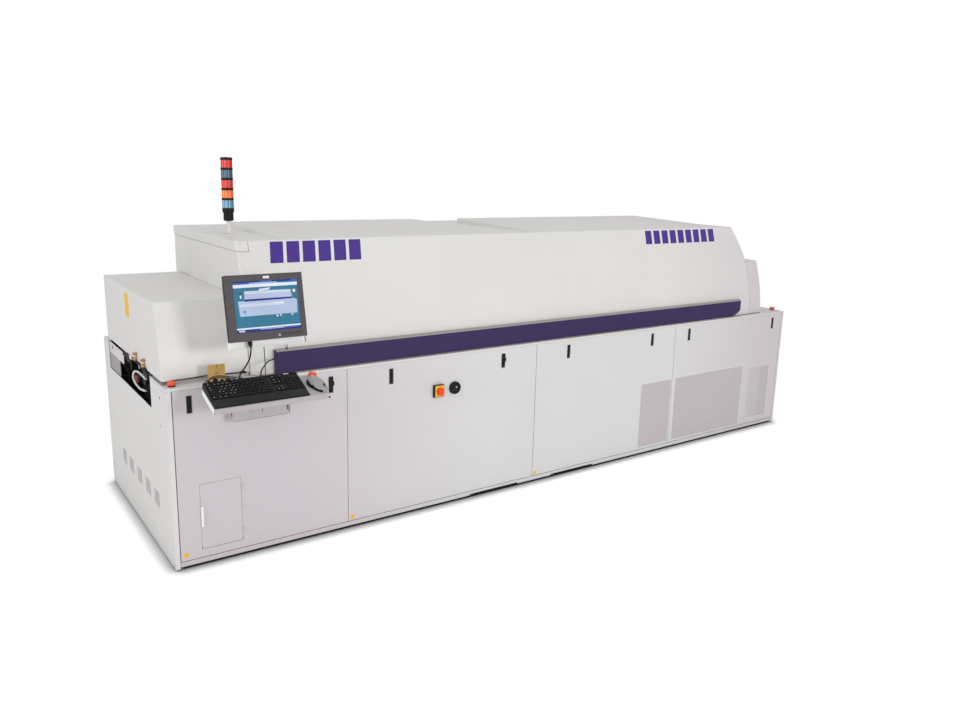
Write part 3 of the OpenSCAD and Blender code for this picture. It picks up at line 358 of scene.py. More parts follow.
# What each material counts as, looked up where a piece doesn't say otherwise; the answer is not kept
SLOTS = {
    "white_coat": (WHITE, LIT_WHITE, SOFT_SEAM, LEDGE, LIP),
    "lilac_coat": (LILAC, RIM_SHADE, PERF_BACK),
    "purple_coat": (PURPLE, PURPLE_PRINT),
    "black_plastic": (BLACK, KEYS, STRIP, BLACK_CABLE),
    "silver_plastic": (PALE, SILVER, MARK_DIM),
    "grey_plastic": (BEZEL,),
    "yellow_plastic": (YELLOW, LABEL, SEAL, BRASS_PLATE),
    "red_plastic": (RED,),
    "lens_plastic": (LENS_BLUE,),
    "zinc_steel": (ZINC, BRACKET),
    "dark_metal": (DARK, RUST, SEAM),
    "foot_rubber": (RUBBER,),
}
SLOT_OF = {material: slot for slot, materials in SLOTS.items() for material in materials}

# Width of the softened edges, in metres
ROUNDED_NODES = {
    0.0012: "infeed_cover outfeed_cover rear_housing hood_shell hood_top_cap top_deck "
            "infeed_end_panel outfeed_end_panel hood_top_covers",
    0.0008: "front_panel_1 front_panel_2 front_panel_3 front_panel_4 access_hatch rear_panels "
            "latch_levers_1 latch_levers_2 latch_levers_3 latch_levers_4",
    0.0020: "monitor_bracket hood_handle keyboard_tray main_switch_knob",
}


def smooth(piece, angle=30):
    """Smooth shading that keeps edges sharper than an angle."""
    bpy.ops.object.select_all(action="DESELECT")
    bpy.context.view_layer.objects.active = piece
    piece.select_set(True)
    bpy.ops.object.shade_auto_smooth(angle=math.radians(angle))
    return piece


def bevel(piece, width, segments=2):
    modifier = piece.modifiers.new("edge_round", "BEVEL")
    modifier.width = width
    modifier.segments = segments
    modifier.limit_method = "ANGLE"
    modifier.angle_limit = math.radians(35)
    modifier.harden_normals = False


def dress_cad_nodes():
    """Materials, softened edges and smooth shading for the CAD nodes."""
    for material, names in NODE_MATERIALS.items():
        for name in names.split():
            node = NODES[name]
            node.data.materials.clear()
            node.data.materials.append(material)
    for width, names in ROUNDED_NODES.items():
        for name in names.split():
            bevel(NODES[name], width)
    for node in NODES.values():
        smooth(node)


# ---------------------------------------------------------------- mesh building

def turn_angles(count, start=0.0):
    """Angles that divide a full turn into equal steps."""
    return [start + 2 * math.pi * k / count for k in range(count)]


def circle(radius, count, start=0.0):
    """Evenly spaced points on a circle round the origin."""
    return [(radius * math.cos(angle), radius * math.sin(angle)) for angle in turn_angles(count, start)]


def spot_of(place):
    """A place given in millimetres, or a vector that is ready."""
    return place if isinstance(place, Vector) else at(*place)


def make_piece(name, bm, materials, closed=True):
    """Turns a mesh in progress into an object with one material or a list of them."""
    if closed:
        bmesh.ops.recalc_face_normals(bm, faces=bm.faces)
    mesh = bpy.data.meshes.new(name)
    bm.to_mesh(mesh)
    bm.free()
    piece = bpy.data.objects.new(name, mesh)
    bpy.context.scene.collection.objects.link(piece)
    for material in materials if isinstance(materials, list) else [materials]:
        mesh.materials.append(material)
    return piece


def riding_piece(name, bm, body, materials, angle=35, slot=None):
    """A smoothly shaded piece that moves with a body; its slot is looked up but not kept."""
    piece = make_piece(name, bm, materials)
    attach(piece, body)
    slot or SLOT_OF[piece.data.materials[0]]
    return smooth(piece, angle)


def bending_piece(name, bm):
    """A black lead, smoothly shaded, with its placement baked into its mesh."""
    piece = make_piece(name, bm, BLACK_CABLE)
    for face in piece.data.polygons:
        face.use_smooth = True
    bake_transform(piece)


def join_rings(bm, rings, index=0):
    """Sides between rings of the same size, and flat ends."""
    faces = []
    for lower, upper in zip(rings, rings[1:]):
        for k in range(len(lower)):
            after = (k + 1) % len(lower)
            faces.append(bm.faces.new((lower[k], lower[after], upper[after], upper[k])))
    faces += [bm.faces.new(rings[0][::-1]), bm.faces.new(rings[-1])]
    for face in faces:
        face.material_index = index


def add_block(bm, low, high, radius=0.0, index=0, place=ROOM, segments=2):
    """A block between two corners with rounded edges, in mm in a local frame."""
    low, high = Vector(low) * MM, Vector(high) * MM
    shape = Matrix.Translation((low + high) / 2) @ Matrix.Diagonal((*(high - low), 1))
    verts = bmesh.ops.create_cube(bm, size=1.0, matrix=shape)["verts"]
    if radius > 0:
        edges = list({edge for vert in verts for edge in vert.link_edges})
        verts = bmesh.ops.bevel(bm, geom=edges, offset=radius * MM, segments=segments, affect="EDGES",
                                profile=0.5)["verts"]
    for face in {face for vert in verts for face in vert.link_faces}:
        face.material_index = index
    bmesh.ops.transform(bm, matrix=place, verts=verts)


def blocks_piece(name, blocks, body, materials, radius=0.6, place=ROOM, slot=None):
    """Rounded blocks given as (low, high) or (low, high, material index), in mm in a local frame."""
    bm = bmesh.new()
    for low, high, *index in blocks:
        thin = min(abs(b - a) for a, b in zip(low, high))
        add_block(bm, low, high, min(radius, thin * 0.4), *index, place=place)
    return riding_piece(name, bm, body, materials, slot=slot)


def add_lathe(bm, outline, centre, axis, steps, index=0, ribs=0, rib=0.0):
    """A turned shape. Its outline holds (radius, distance along the axis) in mm. Ribs flute its side."""
    axis = Vector(axis).normalized()
    across = axis.orthogonal().normalized()
    other = axis.cross(across)
    rings = []
    for radius, along in outline:
        ring = []
        for angle in turn_angles(steps):
            reach = max(radius + rib * math.cos(angle * ribs), 0.01)
            spot = (across * math.cos(angle) + other * math.sin(angle)) * reach + axis * along
            ring.append(bm.verts.new(spot_of(centre) + spot * MM))
        rings.append(ring)
    join_rings(bm, rings, index)


def turned_parts(name, parts, body, materials, steps=24, slot=None):
    """Several turned shapes as one piece: each is (outline, centre, axis) or has a material index too."""
    bm = bmesh.new()
    for outline, centre, axis, *index in parts:
        add_lathe(bm, outline, centre, axis, steps, *index)
    return riding_piece(name, bm, body, materials, slot=slot)


def screws_piece(name, places, axis, body, material=None):
    """Pan-head screws with a round recess."""
    outline = [(0.5, 0), (5.5, 0), (5.5, 1.2), (4.2, 2.6), (2.2, 2.9), (2.0, 1.6), (0.5, 1.6)]
    turned_parts(name, [(outline, place, axis) for place in places], body, material or ZINC, 14,
                 "zinc_steel")


def add_prism(bm, outline, offset, index=0):
    """A closed outline of vectors pushed along an offset in mm."""
    first = [bm.verts.new(point) for point in outline]
    second = [bm.verts.new(point + Vector(offset) * MM) for point in outline]
    join_rings(bm, [first, second], index)


def smooth_path(points, per_span=10):
    """Catmull-Rom points through a few given ones."""
    shaded_ends = [points[0] * 2 - points[1]] + points + [points[-1] * 2 - points[-2]]
    path = []
    for i in range(1, len(shaded_ends) - 2):
        p0, p1, p2, p3 = shaded_ends[i - 1:i + 3]
        for step in range(per_span):
            t = step / per_span
            path.append(0.5 * ((2 * p1) + (p2 - p0) * t + (2 * p0 - 5 * p1 + 4 * p2 - p3) * t ** 2
                               + (3 * p1 - p0 - 3 * p2 + p3) * t ** 3))
    path.append(points[-1])
    return path


def add_tube(bm, places, radius, sides=10):
    """A round lead through a few places. Its radius is in mm."""
    path = smooth_path([spot_of(place) for place in places])
    side = None
    rings = []
    for i, point in enumerate(path):
        ahead = (path[min(i + 1, len(path) - 1)] - path[max(i - 1, 0)]).normalized()
        side = ahead.orthogonal() if side is None else side - ahead * side.dot(ahead)
        side.normalize()
        other = ahead.cross(side)
        rings.append([bm.verts.new(point + side * u * MM + other * v * MM) for u, v in circle(radius, sides)])
    join_rings(bm, rings)


def tube_piece(name, places, radius, body, material):
    bm = bmesh.new()
    add_tube(bm, places, radius)
    riding_piece(name, bm, body, material, 60)


def perforated(name, x0, x1, z0, z1, body, material):
    """Punched sheet in an upright plane. Every hole is cut as an octagon."""
    pitch, hole, depth = 9.5, 3.0, 1.1
    bm = bmesh.new()
    columns = max(1, round((x1 - x0) / pitch))
    rows = max(1, round((z1 - z0) / pitch))
    wide, high = (x1 - x0) / columns, (z1 - z0) / rows
    grid = [[bm.verts.new(at(x0 + c * wide, depth, z0 + r * high)) for r in range(rows + 1)]
            for c in range(columns + 1)]
    for c in range(columns):
        for r in range(rows):
            x, z = x0 + (c + 0.5) * wide, z0 + (r + 0.5) * high
            ring = [bm.verts.new(at(x + u, depth, z + v)) for u, v in circle(hole, 8, math.pi / 8)]
            corners = (grid[c + 1][r], grid[c + 1][r + 1], grid[c][r + 1], grid[c][r])
            for k, corner in enumerate(corners):
                after = corners[(k + 1) % 4]
                bm.faces.new((corner, after, ring[2 * k], ring[2 * k - 1]))
                bm.faces.new((after, ring[2 * k + 1], ring[2 * k]))
    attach(make_piece(name, bm, material, closed=False), body)


# ---------------------------------------------------------------- signal tower

TOWER = (548, 700)
LENS_FOOT, LENS_PITCH, RING = 1679, 53.2, 12


def signal_tower():
    """Five fluted lenses between black rings, on a short bright pole."""
    bm = bmesh.new()
    tall = LENS_PITCH - RING
    outline = [(27.5, 0), (29.4, 0.8), (29.4, tall - 0.8), (27.5, tall)]
    for k in range(5):
        add_lathe(bm, outline, (*TOWER, LENS_FOOT + k * LENS_PITCH + RING / 2), UP, 120, k, 30, 0.5)
    colours = [LENS_BLUE, LENS_ORANGE, LENS_RED, LENS_SMOKE, LENS_RED]
    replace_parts(riding_piece("tower_lens_stack", bm, "hood", colours), "tower_lenses")
    turned_parts("tower_pole_sleeve", [([(12.4, 0), (12.4, 63)], (*TOWER, 1553.5), UP),
                                       ([(34, 0), (34, 3), (30, 5), (14, 7)], (*TOWER, 1551), UP)],
                 "hood", WHITE)
    base = [(25.4, 0), (26.6, 3), (26.6, 28), (25.6, 30), (25.6, 33),
            (26.6, 35), (26.6, 42), (30.5, 45), (30.5, 57)]
    lid = [(31.4, -7), (31.4, 3), (29, 6), (18, 8), (1, 8.5)]
    rings = [([(31.4, -5), (31.4, 5)], (*TOWER, LENS_FOOT + k * LENS_PITCH), UP) for k in range(1, 5)]
    turned_parts("tower_base_shell", rings + [(base, (*TOWER, 1617), UP), (lid, (*TOWER, 1945), UP)],
                 "hood", BLACK, 40)


# ---------------------------------------------------------------- screen

SCREEN = Matrix.Translation(at(404, -205, 1291)) @ tilted(-11)
# Half the bezel's width and height; left, right, low and high edges of the picture
HALF_W, HALF_H = 180.0, 148.5
PICTURE = (-145.0, 154.0, -108.5, 118.5)


def on_screen(x, y, z):
    """A point in mm from the middle of the screen."""
    return SCREEN @ (Vector((x, y, z)) * MM)


def on_picture(u, v):
    """A spot on the picture from fractions of its width and of its height from the top."""
    left, right, low, high = PICTURE
    return left + u * (right - left), high - v * (high - low)


def screen_patch(points, index, step):
    """A flat patch of the picture; a higher step lies in front."""
    return [on_picture(*point) for point in points], index, step


def screen_bar(u0, u1, v0, v1, index, step):
    return screen_patch([(u0, v1), (u1, v1), (u1, v0), (u0, v0)], index, step)


def screen_dot(u, v, radius, index, step):
    x, z = on_picture(u, v)
    return [(x + a, z + b) for a, b in circle(radius, 16)], index, step


def screen_picture():
    """A control program's page: bars, and a plain drawing of an oven."""
    teal, navy, blue, pale_blue, white, indigo, light, amber, dark = range(9)
    shapes = [
        screen_bar(0, 1, 0, 1, teal, 0),
        screen_bar(0, 1, 0, 0.058, blue, 1),
        screen_bar(0, 0.42, 0, 0.024, navy, 2), screen_bar(0.6, 0.9, 0, 0.03, navy, 2),
        screen_bar(0.25, 0.68, 0.032, 0.05, pale_blue, 2),
        screen_bar(0, 1, 0.058, 0.122, white, 1),
        screen_patch([(0.375, 0.2), (0.40, 0.16), (0.575, 0.14), (0.55, 0.185)], light, 1),
        screen_bar(0.40, 0.54, 0.16, 0.178, white, 2),
        screen_patch([(0.155, 0.36), (0.90, 0.355), (0.885, 0.205), (0.165, 0.19)], pale_blue, 1),
        screen_patch([(0.165, 0.25), (0.885, 0.25), (0.885, 0.205), (0.165, 0.19)], light, 2),
        screen_patch([(0.155, 0.395), (0.90, 0.39), (0.90, 0.355), (0.155, 0.35)], indigo, 3),
        screen_patch([(0.07, 0.685), (0.965, 0.685), (0.975, 0.42), (0.93, 0.385), (0.055, 0.385)],
                     pale_blue, 2),
        screen_patch([(0.08, 0.50), (0.76, 0.50), (0.76, 0.44), (0.08, 0.44)], light, 3),
        screen_bar(0.60, 0.75, 0.445, 0.47, white, 4),
        screen_dot(0.145, 0.595, 6.5, blue, 4), screen_dot(0.145, 0.595, 3.2, pale_blue, 5),
        screen_dot(0.10, 0.235, 4.6, dark, 2), screen_bar(0.092, 0.115, 0.27, 0.33, white, 2),
        screen_dot(0.94, 0.235, 8.0, amber, 2), screen_dot(0.94, 0.235, 4.5, white, 3),
        screen_dot(0.64, 0.715, 4.5, white, 4), screen_dot(0.695, 0.712, 4.5, light, 4),
        screen_dot(0.88, 0.708, 4.5, light, 4),
        screen_bar(0, 1, 0.912, 0.943, white, 1),
        screen_bar(0, 1, 0.943, 1, navy, 1),
        screen_bar(0.03, 0.12, 0.952, 0.99, pale_blue, 2), screen_bar(0.34, 0.98, 0.95, 0.975, blue, 2),
        screen_bar(0.36, 0.72, 0.952, 0.962, light, 3)]
    colours = {"teal": (0.045, 0.21, 0.335), "navy": (0.02, 0.05, 0.24), "blue": (0.045, 0.16, 0.55),
               "pale_blue": (0.50, 0.60, 0.80), "white": (0.86, 0.89, 0.97), "indigo": (0.05, 0.045, 0.30),
               "light": (0.66, 0.73, 0.86), "amber": (0.78, 0.62, 0.35), "dark": (0.03, 0.05, 0.09)}
    bm = bmesh.new()
    thickness = SCREEN.to_3x3() @ Vector((0, 0.1, 0))
    for points, index, step in shapes:
        add_prism(bm, [on_screen(x, -18.0 - 0.12 * step, z) for x, z in points], thickness, index)
    glow = [glowing("screen_" + name, colour, 0.72) for name, colour in colours.items()]
    riding_piece("screen_picture", bm, "screen", glow, slot="grey_plastic")


def screen_housing():
    """Bezel, tapering shell painted dark as shade, and white backing plate brightened as painted highlight,
    that stand for the plain CAD screen.
    """
    left, right, low, high = PICTURE
    bm = bmesh.new()
    for x0, x1, z0, z1 in ((-HALF_W, left, -HALF_H, HALF_H), (right, HALF_W, -HALF_H, HALF_H),
                           (left - 2, right + 2, high, HALF_H), (left - 2, right + 2, -HALF_H, low)):
        add_block(bm, (x0, -22, z0), (x1, -10, z1), 1.6, 0, SCREEN, 3)
    # Dark border round the picture: painted shade in its recess
    add_block(bm, (left - 2, -17, low - 2), (right + 2, -12, high + 2), 0, 1, SCREEN)
    # Rear shell: full size behind the bezel, smaller at the back, painted dark as shade
    wide, narrow = HALF_W - 1, HALF_W - 4
    ring = [on_screen(x, y, -HALF_H + 1) for x, y in ((-wide, -10), (wide, -10), (narrow, 26), (-narrow, 26))]
    add_prism(bm, ring, SCREEN.to_3x3() @ Vector((0, 0, 2 * HALF_H - 2)), 1)
    # Hinge blades on the pivot, as the CAD screen has them
    for x in (362, 390):
        add_block(bm, (x, -180, 1279), (x + 8, -138, 1303), 0.5, 1)
    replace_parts(riding_piece("screen_housing", bm, "screen", [BEZEL, SHADED_SIDE_AND_BUTTONS]), "monitor")
    blocks_piece("screen_backplate", [((-180, 26, -180.5), (180, 29, 116.5)),
                                      ((-180, 12, -180.5), (180, 26, -178))],
                 "screen", LIT_WHITE, 0.8, SCREEN)
    buttons = [((60 + 15 * k, -22.7, -134.5), (66 + 15 * k, -21.5, -131.5), 1) for k in range(7)]
    blocks_piece("screen_badge", [((-6, -22.8, 127.5), (23, -21.5, 139), 0),
                                  ((44, -22.6, -137), (49.5, -21.5, -128), 0),
                                  ((58, -22.6, -128.5), (160, -21.5, -125.5), 1)] + buttons,
                 "screen", [PALE, SHADED_SIDE_AND_BUTTONS], 0.3, SCREEN)
    blocks_piece("screen_cord_clip", [((172, -8, -176), (175, -5, -147))], "screen", BLACK, place=SCREEN)


def screen_cables():
    """Leads that leave the screen and run down to the tray and behind the handle strip."""
    bm = bmesh.new()
    add_tube(bm, [on_screen(-85, 2, -150), (322, -232, 1115), (319, -222, 1067), (306, -192, 1018),
                  (294, -160, 980), (290, -142, 945), (292, -100, 918), (300, -40, 911), (306, 30, 909)], 3.4)
    bending_piece("screen_lead", bm)
    wires = {"screen_wire_1": [(486, -205, 1140), (520, -100, 1095), (571, -4, 1056), (590, 30, 1040),
                               (600, 33, 1031)],
             "screen_wire_2": [(514, -190, 1140), (540, -110, 1105), (566, -50, 1072), (583, 4, 1035),
                               (600, 34, 1030)]}
    for name, places in wires.items():
        bm = bmesh.new()
        add_tube(bm, places, 1.6, 8)
        bending_piece(name, bm)
    plug_outline = [(4, -3), (9, 0), (9.5, 4), (9.5, 14), (8, 18), (5, 21), (4.2, 26)]
    downward = SCREEN.to_3x3() @ Vector((0, 0, -1))
    turned_parts("screen_plug", [(plug_outline, on_screen(-85, 2, -151), downward)], "screen", BLACK)


# ---------------------------------------------------------------- operator shelf

TRAY = Matrix.Translation(at(0, -338, 881)) @ tilted(17)
# The keyboard's face, which rises from 8 mm over the tray at the front to 24 mm at the rear
KEYBOARD = TRAY @ moved(118, 5, 8.3) @ Matrix.Rotation(math.atan2(24 - 8, 182), 4, "X")
KEY_PITCH = 18.4
FIRST_ROW = 55
TOP_ROW = 5


def add_key(keys, x, y, wide, deep):
    """One keycap with tapered sides, its foot at the board's face."""
    rings = []
    for inset, z in ((0, 0.2), (1.6, 5.6)):
        corners = ((x + inset, y + inset), (x + wide - inset, y + inset),
                   (x + wide - inset, y + deep - inset), (x + inset, y + deep - inset))
        rings.append([keys.verts.new(KEYBOARD @ (Vector((*corner, z)) * MM)) for corner in corners])
    join_rings(keys, rings)


def row_place(row):
    """Front edge of a row of keys; the top row stands a little apart."""
    return FIRST_ROW + row * KEY_PITCH + (4 if row == TOP_ROW else 0)


def key_places():
    """Low corner and width of every key, row by row from the front. Narrow entries are gaps."""
    rows = ([1.4, 1.2, 1.3, 5.6, 1.3, 1.2, 1.3, 1.3], [2.2] + [1] * 10 + [2.7], [1.8] + [1] * 11 + [2.1],
            [1.5] + [1] * 12 + [1.4], [1] * 13 + [1.9],
            [1, 0.55] + [1] * 4 + [0.45] + [1] * 4 + [0.45] + [1] * 4)
    main_x, arrows_x, digits_x = 10.0, 305, 364
    for row, widths in enumerate(rows):
        x = main_x
        for width in widths:
            if width >= 1:
                yield x, row_place(row), width * KEY_PITCH
            x += width * KEY_PITCH
    for column in range(3):
        for row in (0, 3, 4, TOP_ROW):
            yield arrows_x + column * KEY_PITCH, row_place(row), KEY_PITCH
    yield arrows_x + KEY_PITCH, row_place(1), KEY_PITCH
    for column in range(4):
        for row in range(5):
            yield digits_x + column * KEY_PITCH, row_place(row), KEY_PITCH


def keyboard_details():
    """Keycaps with plain dashes on them, palm strip and rim."""
    keys, marks = bmesh.new(), bmesh.new()
    for x, y, width in key_places():
        add_key(keys, x + 1.0, y + 1.0, width - 2.0, KEY_PITCH - 2.4)
        bright = x < 120 or 290 < x < 350
        if width < 1.6 * KEY_PITCH and random.random() < (0.8 if bright else 0.4):
            size = 4.4 if bright else 2.4
            mark_x, mark_y = x + 4.0 + random.random() * 2, y + 6.5 + random.random() * 2
            add_block(marks, (mark_x, mark_y, 5.5), (mark_x + size, mark_y + 2.0, 5.9), 0, 0 if bright else 1,
                      KEYBOARD)
    riding_piece("keyboard_keys", keys, "panel_1", KEYS, 25)
    riding_piece("keyboard_marks", marks, "panel_1", [PALE, MARK_DIM])
    blocks_piece("keyboard_palm_strip", [((1, 1, -2), (437, 50, 2.2))], "panel_1", STRIP, 1.8, KEYBOARD)
    blocks_piece("keyboard_rim", [((0.5, 51, -2), (6, 181, 3.5), 0), ((432, 51, -2), (437.5, 181, 3.5), 1),
                                  ((6, 172, -2), (432, 181, 3.5), 0), ((372, 169.5, 2), (398, 176, 4.4), 2)],
                 "panel_1", [KEYS, STRIP, LED_GREEN], 1.0, KEYBOARD)


def mouse_body():
    """A domed mouse: bright top, dark flank towards the keyboard, and a wheel."""
    rings, steps = 12, 40
    half_w, half_d, tall = 32, 60, 40.0
    place = TRAY @ moved(620, 70, 0.4) @ tilted(24, "Z")
    bm = bmesh.new()
    grid = []
    for ring in range(rings + 1):
        t = ring / rings
        shrink = math.cos(t * math.pi / 2) ** 0.62
        height = tall * math.sin(t * math.pi / 2) ** 0.9
        row = []
        for c, s in circle(1, steps):
            x = half_w * shrink * math.copysign(abs(c) ** 0.8, c) * (1 - 0.06 * s)
            y = half_d * shrink * math.copysign(abs(s) ** 0.85, s) + 14 * t
            row.append(bm.verts.new(place @ (Vector((x, y, 1 + height * (1 + 0.10 * s))) * MM)))
        grid.append(row)
    for lower, upper in zip(grid[:-1], grid[1:-1]):
        for step in range(steps):
            after = (step + 1) % steps
            face = bm.faces.new((lower[step], lower[after], upper[after], upper[step]))
            middle = place.inverted() @ face.calc_center_median() / MM
            in_flank = middle.x < -12 + 0.15 * middle.y and middle.z < 17 + 0.15 * middle.y
            face.material_index = 1 if in_flank else 0
    bm.faces.new(grid[0][::-1])
    bmesh.ops.remove_doubles(bm, verts=bm.verts, dist=1e-6)
    bmesh.ops.holes_fill(bm, edges=[edge for edge in bm.edges if edge.is_boundary])
    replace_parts(riding_piece("mouse_shell", bm, "panel_1", [SILVER, BLACK], 60), "mouse")
    wheel = [(6.5, -3), (8, -2), (8, 2), (6.5, 3)]
    turned_parts("mouse_wheel", [(wheel, place @ (Vector((0, -38, 27)) * MM), RIGHT)], "panel_1", BLACK)


def shelf_details():
    """Edge of the tray brightened as painted highlight, and marks on the pocket under it."""
    blocks_piece("tray_lit_edge", [((115.3, 5, -27.5), (116.2, 177, -0.3))], "panel_1", LIT_WHITE, 0.3, TRAY)
    front, back = -60.4, -59.8
    blocks_piece("pocket_marks", [
        ((276, front, 745), (280, back, 779), 0), ((425.5, front, 751), (428.5, back, 776), 0),
        ((549, front, 745), (557, back, 780), 1), ((560, front, 732), (564, back, 779), 0),
        ((280, front, 723), (566, back, 724.4), 1)],
        "panel_1", [SEAM, MARK_DIM], 0.2, slot="black_plastic")
    bm = bmesh.new()
    wire = -60.6
    hook = [(372 + 8 * math.cos(a), wire, 763 + 7 * math.sin(a)) for a in (2.4, 1.9, 1.3, 0.7, 0.1, -0.5)]
    add_tube(bm, hook, 0.8, 6)
    add_tube(bm, [(455, wire, 772), (462, wire, 770), (466, wire, 773)], 0.7, 6)
    riding_piece("pocket_hook", bm, "panel_1", MARK_DIM, slot="black_plastic")


def gold_plate():
    """The small gold plate that stands behind the keyboard, and the lead under the cover."""
    bm = bmesh.new()
    add_prism(bm, [at(x, 0, z) for x, z in ((192, 916), (274, 916), (274, 998), (192, 998))], (0, 1.6, 0))
    add_lathe(bm, [(3.5, 0), (3.5, 0.6)], (235, -0.7, 989), REARWARD, 16, 1)
    add_block(bm, (226, -0.6, 954), (240, 0.2, 957), 0, 1)
    add_block(bm, (196, 0.2, 905), (270, 8, 918), 0.6)
    riding_piece("gold_plate", bm, "cabinet", [BRASS_PLATE, SEAM])
    lead = [(40, 68, 926), (127, 66, 929), (203, 66, 932), (304, 60, 932), (386, 60, 928)]
    tube_piece("cover_lead", lead, 2.7, "cabinet", BLACK_CABLE)
    turned_parts("cover_lead_plug", [([(3, 0), (6.5, 2), (6.5, 26), (3, 30)], (366, 60, 929), (1, 0, -0.03))],
                 "cabinet", BLACK)


def keyboard_leads():
    """The lead from the strip's end to the keyboard, and the plugs and loops behind it."""
    bm = bmesh.new()
    add_tube(bm, [(540, 38, 992), (514, 10, 988), (475, -20, 986), (438, -70, 978), (407, -118, 970),
                  (393, -148, 956), (392, -158, 944)], 3.4)
    bending_piece("keyboard_lead", bm)
    plugs = []
    for x, y, z, r, tall in ((148, -168, 962, 9, 20), (176, -164, 966, 11, 24), (205, -166, 964, 8, 20),
                             (232, -162, 964, 10, 18), (262, -166, 960, 8, 18)):
        outline = [(r * 0.7, 0), (r, 3), (r, tall - 4), (r * 0.6, tall)]
        plugs.append((outline, (x, y, z - 16), (0.1, 0, 1)))
    turned_parts("keyboard_plugs", plugs, "panel_1", BLACK)
    bm = bmesh.new()
    for loop in ([(122, -172, 958), (150, -160, 972), (190, -156, 975), (230, -160, 969), (268, -168, 962)],
                 [(140, -164, 964), (170, -158, 982), (208, -156, 980), (246, -158, 972), (300, -170, 962)]):
        add_tube(bm, loop, 2.6, 8)
    riding_piece("keyboard_loops", bm, "panel_1", BLACK_CABLE, 60)


# ---------------------------------------------------------------- hood

def add_shell(bm, front, back, index=0):
    """A closed slab between two grids of vertices of the same size."""
    rows, columns = len(front) - 1, len(front[0]) - 1
    quads = []
    for r in range(rows):
        for c in range(columns):
            quads.append((front[r][c], front[r][c + 1], front[r + 1][c + 1], front[r + 1][c]))
            quads.append((back[r][c], back[r + 1][c], back[r + 1][c + 1], back[r][c + 1]))
        for c in (0, columns):
            quads.append((front[r][c], front[r + 1][c], back[r + 1][c], back[r][c]))
    for c in range(columns):
        for r in (0, rows):
            quads.append((front[r][c], back[r][c], back[r][c + 1], front[r][c + 1]))
    for quad in quads:
        bm.faces.new(quad).material_index = index


def hood_patch(name, outlines, lift, materials, columns=6, rows=4, slot=None):
    """Thin patches that lie on the hood's curved front; outlines are four (x, z) corners in mm."""
    bm = bmesh.new()
    for low_left, low_right, high_right, high_left, index in outlines:
        grid = []
        for row in range(rows + 1):
            t = row / rows
            line = []
            for column in range(columns + 1):
                u = column / columns
                x0 = low_left[0] + (high_left[0] - low_left[0]) * t
                x1 = low_right[0] + (high_right[0] - low_right[0]) * t
                z0 = low_left[1] + (low_right[1] - low_left[1]) * u
                z1 = high_left[1] + (high_right[1] - high_left[1]) * u
                spot = at(x0 + (x1 - x0) * u, 0, z0 + (z1 - z0) * t)
                spot.y = hood_front(spot.z) - lift * MM
                line.append(spot)
            grid.append(line)
        sunk = Vector((0, (lift + 0.2) * MM, 0))
        front = [[bm.verts.new(spot) for spot in line] for line in grid]
        back = [[bm.verts.new(spot + sunk) for spot in line] for line in grid]
        add_shell(bm, front, back, index)
    return riding_piece(name, bm, "hood", materials, 40, slot)


def slanted_bars(x0, x1, z0, z1, count, gap, slant):
    """Plain bars in place of lettering."""
    wide = (x1 - x0 - slant - gap * (count - 1)) / count
    for k in range(count):
        left = x0 + k * (wide + gap)
        yield (left, z0), (left + wide, z0), (left + wide + slant, z1), (left + slant, z1), 0


def upright_line(x0, x1, z0, z1, index):
    return (x0, z0), (x1, z0), (x1, z1), (x0, z1), index


def hood_front_details():
    """Bars in place of the lettering, the join at the infeed end, and the handle strip's lip and seal."""
    bars = [*slanted_bars(576, 1094, 1440, 1543, 6, 18, 16), *slanted_bars(3248, 3980, 1452, 1540, 9, 22, 18)]
    hood_patch("hood_stripes", bars, 0.5, [PURPLE_PRINT])
    join = [upright_line(483, 487, 909, 1046, 0), upright_line(484, 486.5, 1046, 1280, 1)]
    hood_patch("hood_join", join, 0.3, [SEAM, SOFT_SEAM], 1, 24, "white_coat")
    strip_start, strip_end = 534, 4125
    section = ((14, 1021), (14, 1027), (18, 1029), (43, 1031), (43, 1021))
    bm = bmesh.new()
    add_prism(bm, [at(strip_start, y, z) for y, z in section], (strip_end - strip_start, 0, 0))
    riding_piece("strip_lip", bm, "hood", LIP)
    blocks_piece("strip_seal", [((536, 18, 906.5), (4030, 40, 910.2))], "hood", SEAL, 0.8)
    blocks_piece("strip_end_caps", [((531, 14, 910), (534.2, 41, 1027))], "hood", PURPLE, 0.8)


def hood_top_details():
    """Fold lines at the infeed end, and grips on the two lids."""
    blocks_piece("hood_end_fold", [((418.6, 1001, 912), (420.2, 1013.5, 1497), 1),
                                   ((418.9, 215, 1496.6), (420.4, 1004, 1499.4), 0)],
                 "hood", [SOFT_SEAM, WHITE], 0.3)
    grips = (900, 1800, 2500, 3700)
    post = [(7, 0), (7, 3), (4.5, 5), (4.5, 26), (1, 27)]
    posts = [(post, (x + side, 1112.5, 1562), REARWARD) for x in grips for side in (-70, 70)]
    turned_parts("lid_grip_posts", posts, "hood", ZINC)
    bars = [((x - 76, 1134, 1557), (x + 76, 1142, 1567)) for x in grips]
    blocks_piece("lid_grip_bars", bars, "hood", BLACK, 3)


# ---------------------------------------------------------------- front panels

LATCHES = {1: (101, 814), 2: (1167, 1920), 3: (2432, 3186), 4: (3559, 4516)}


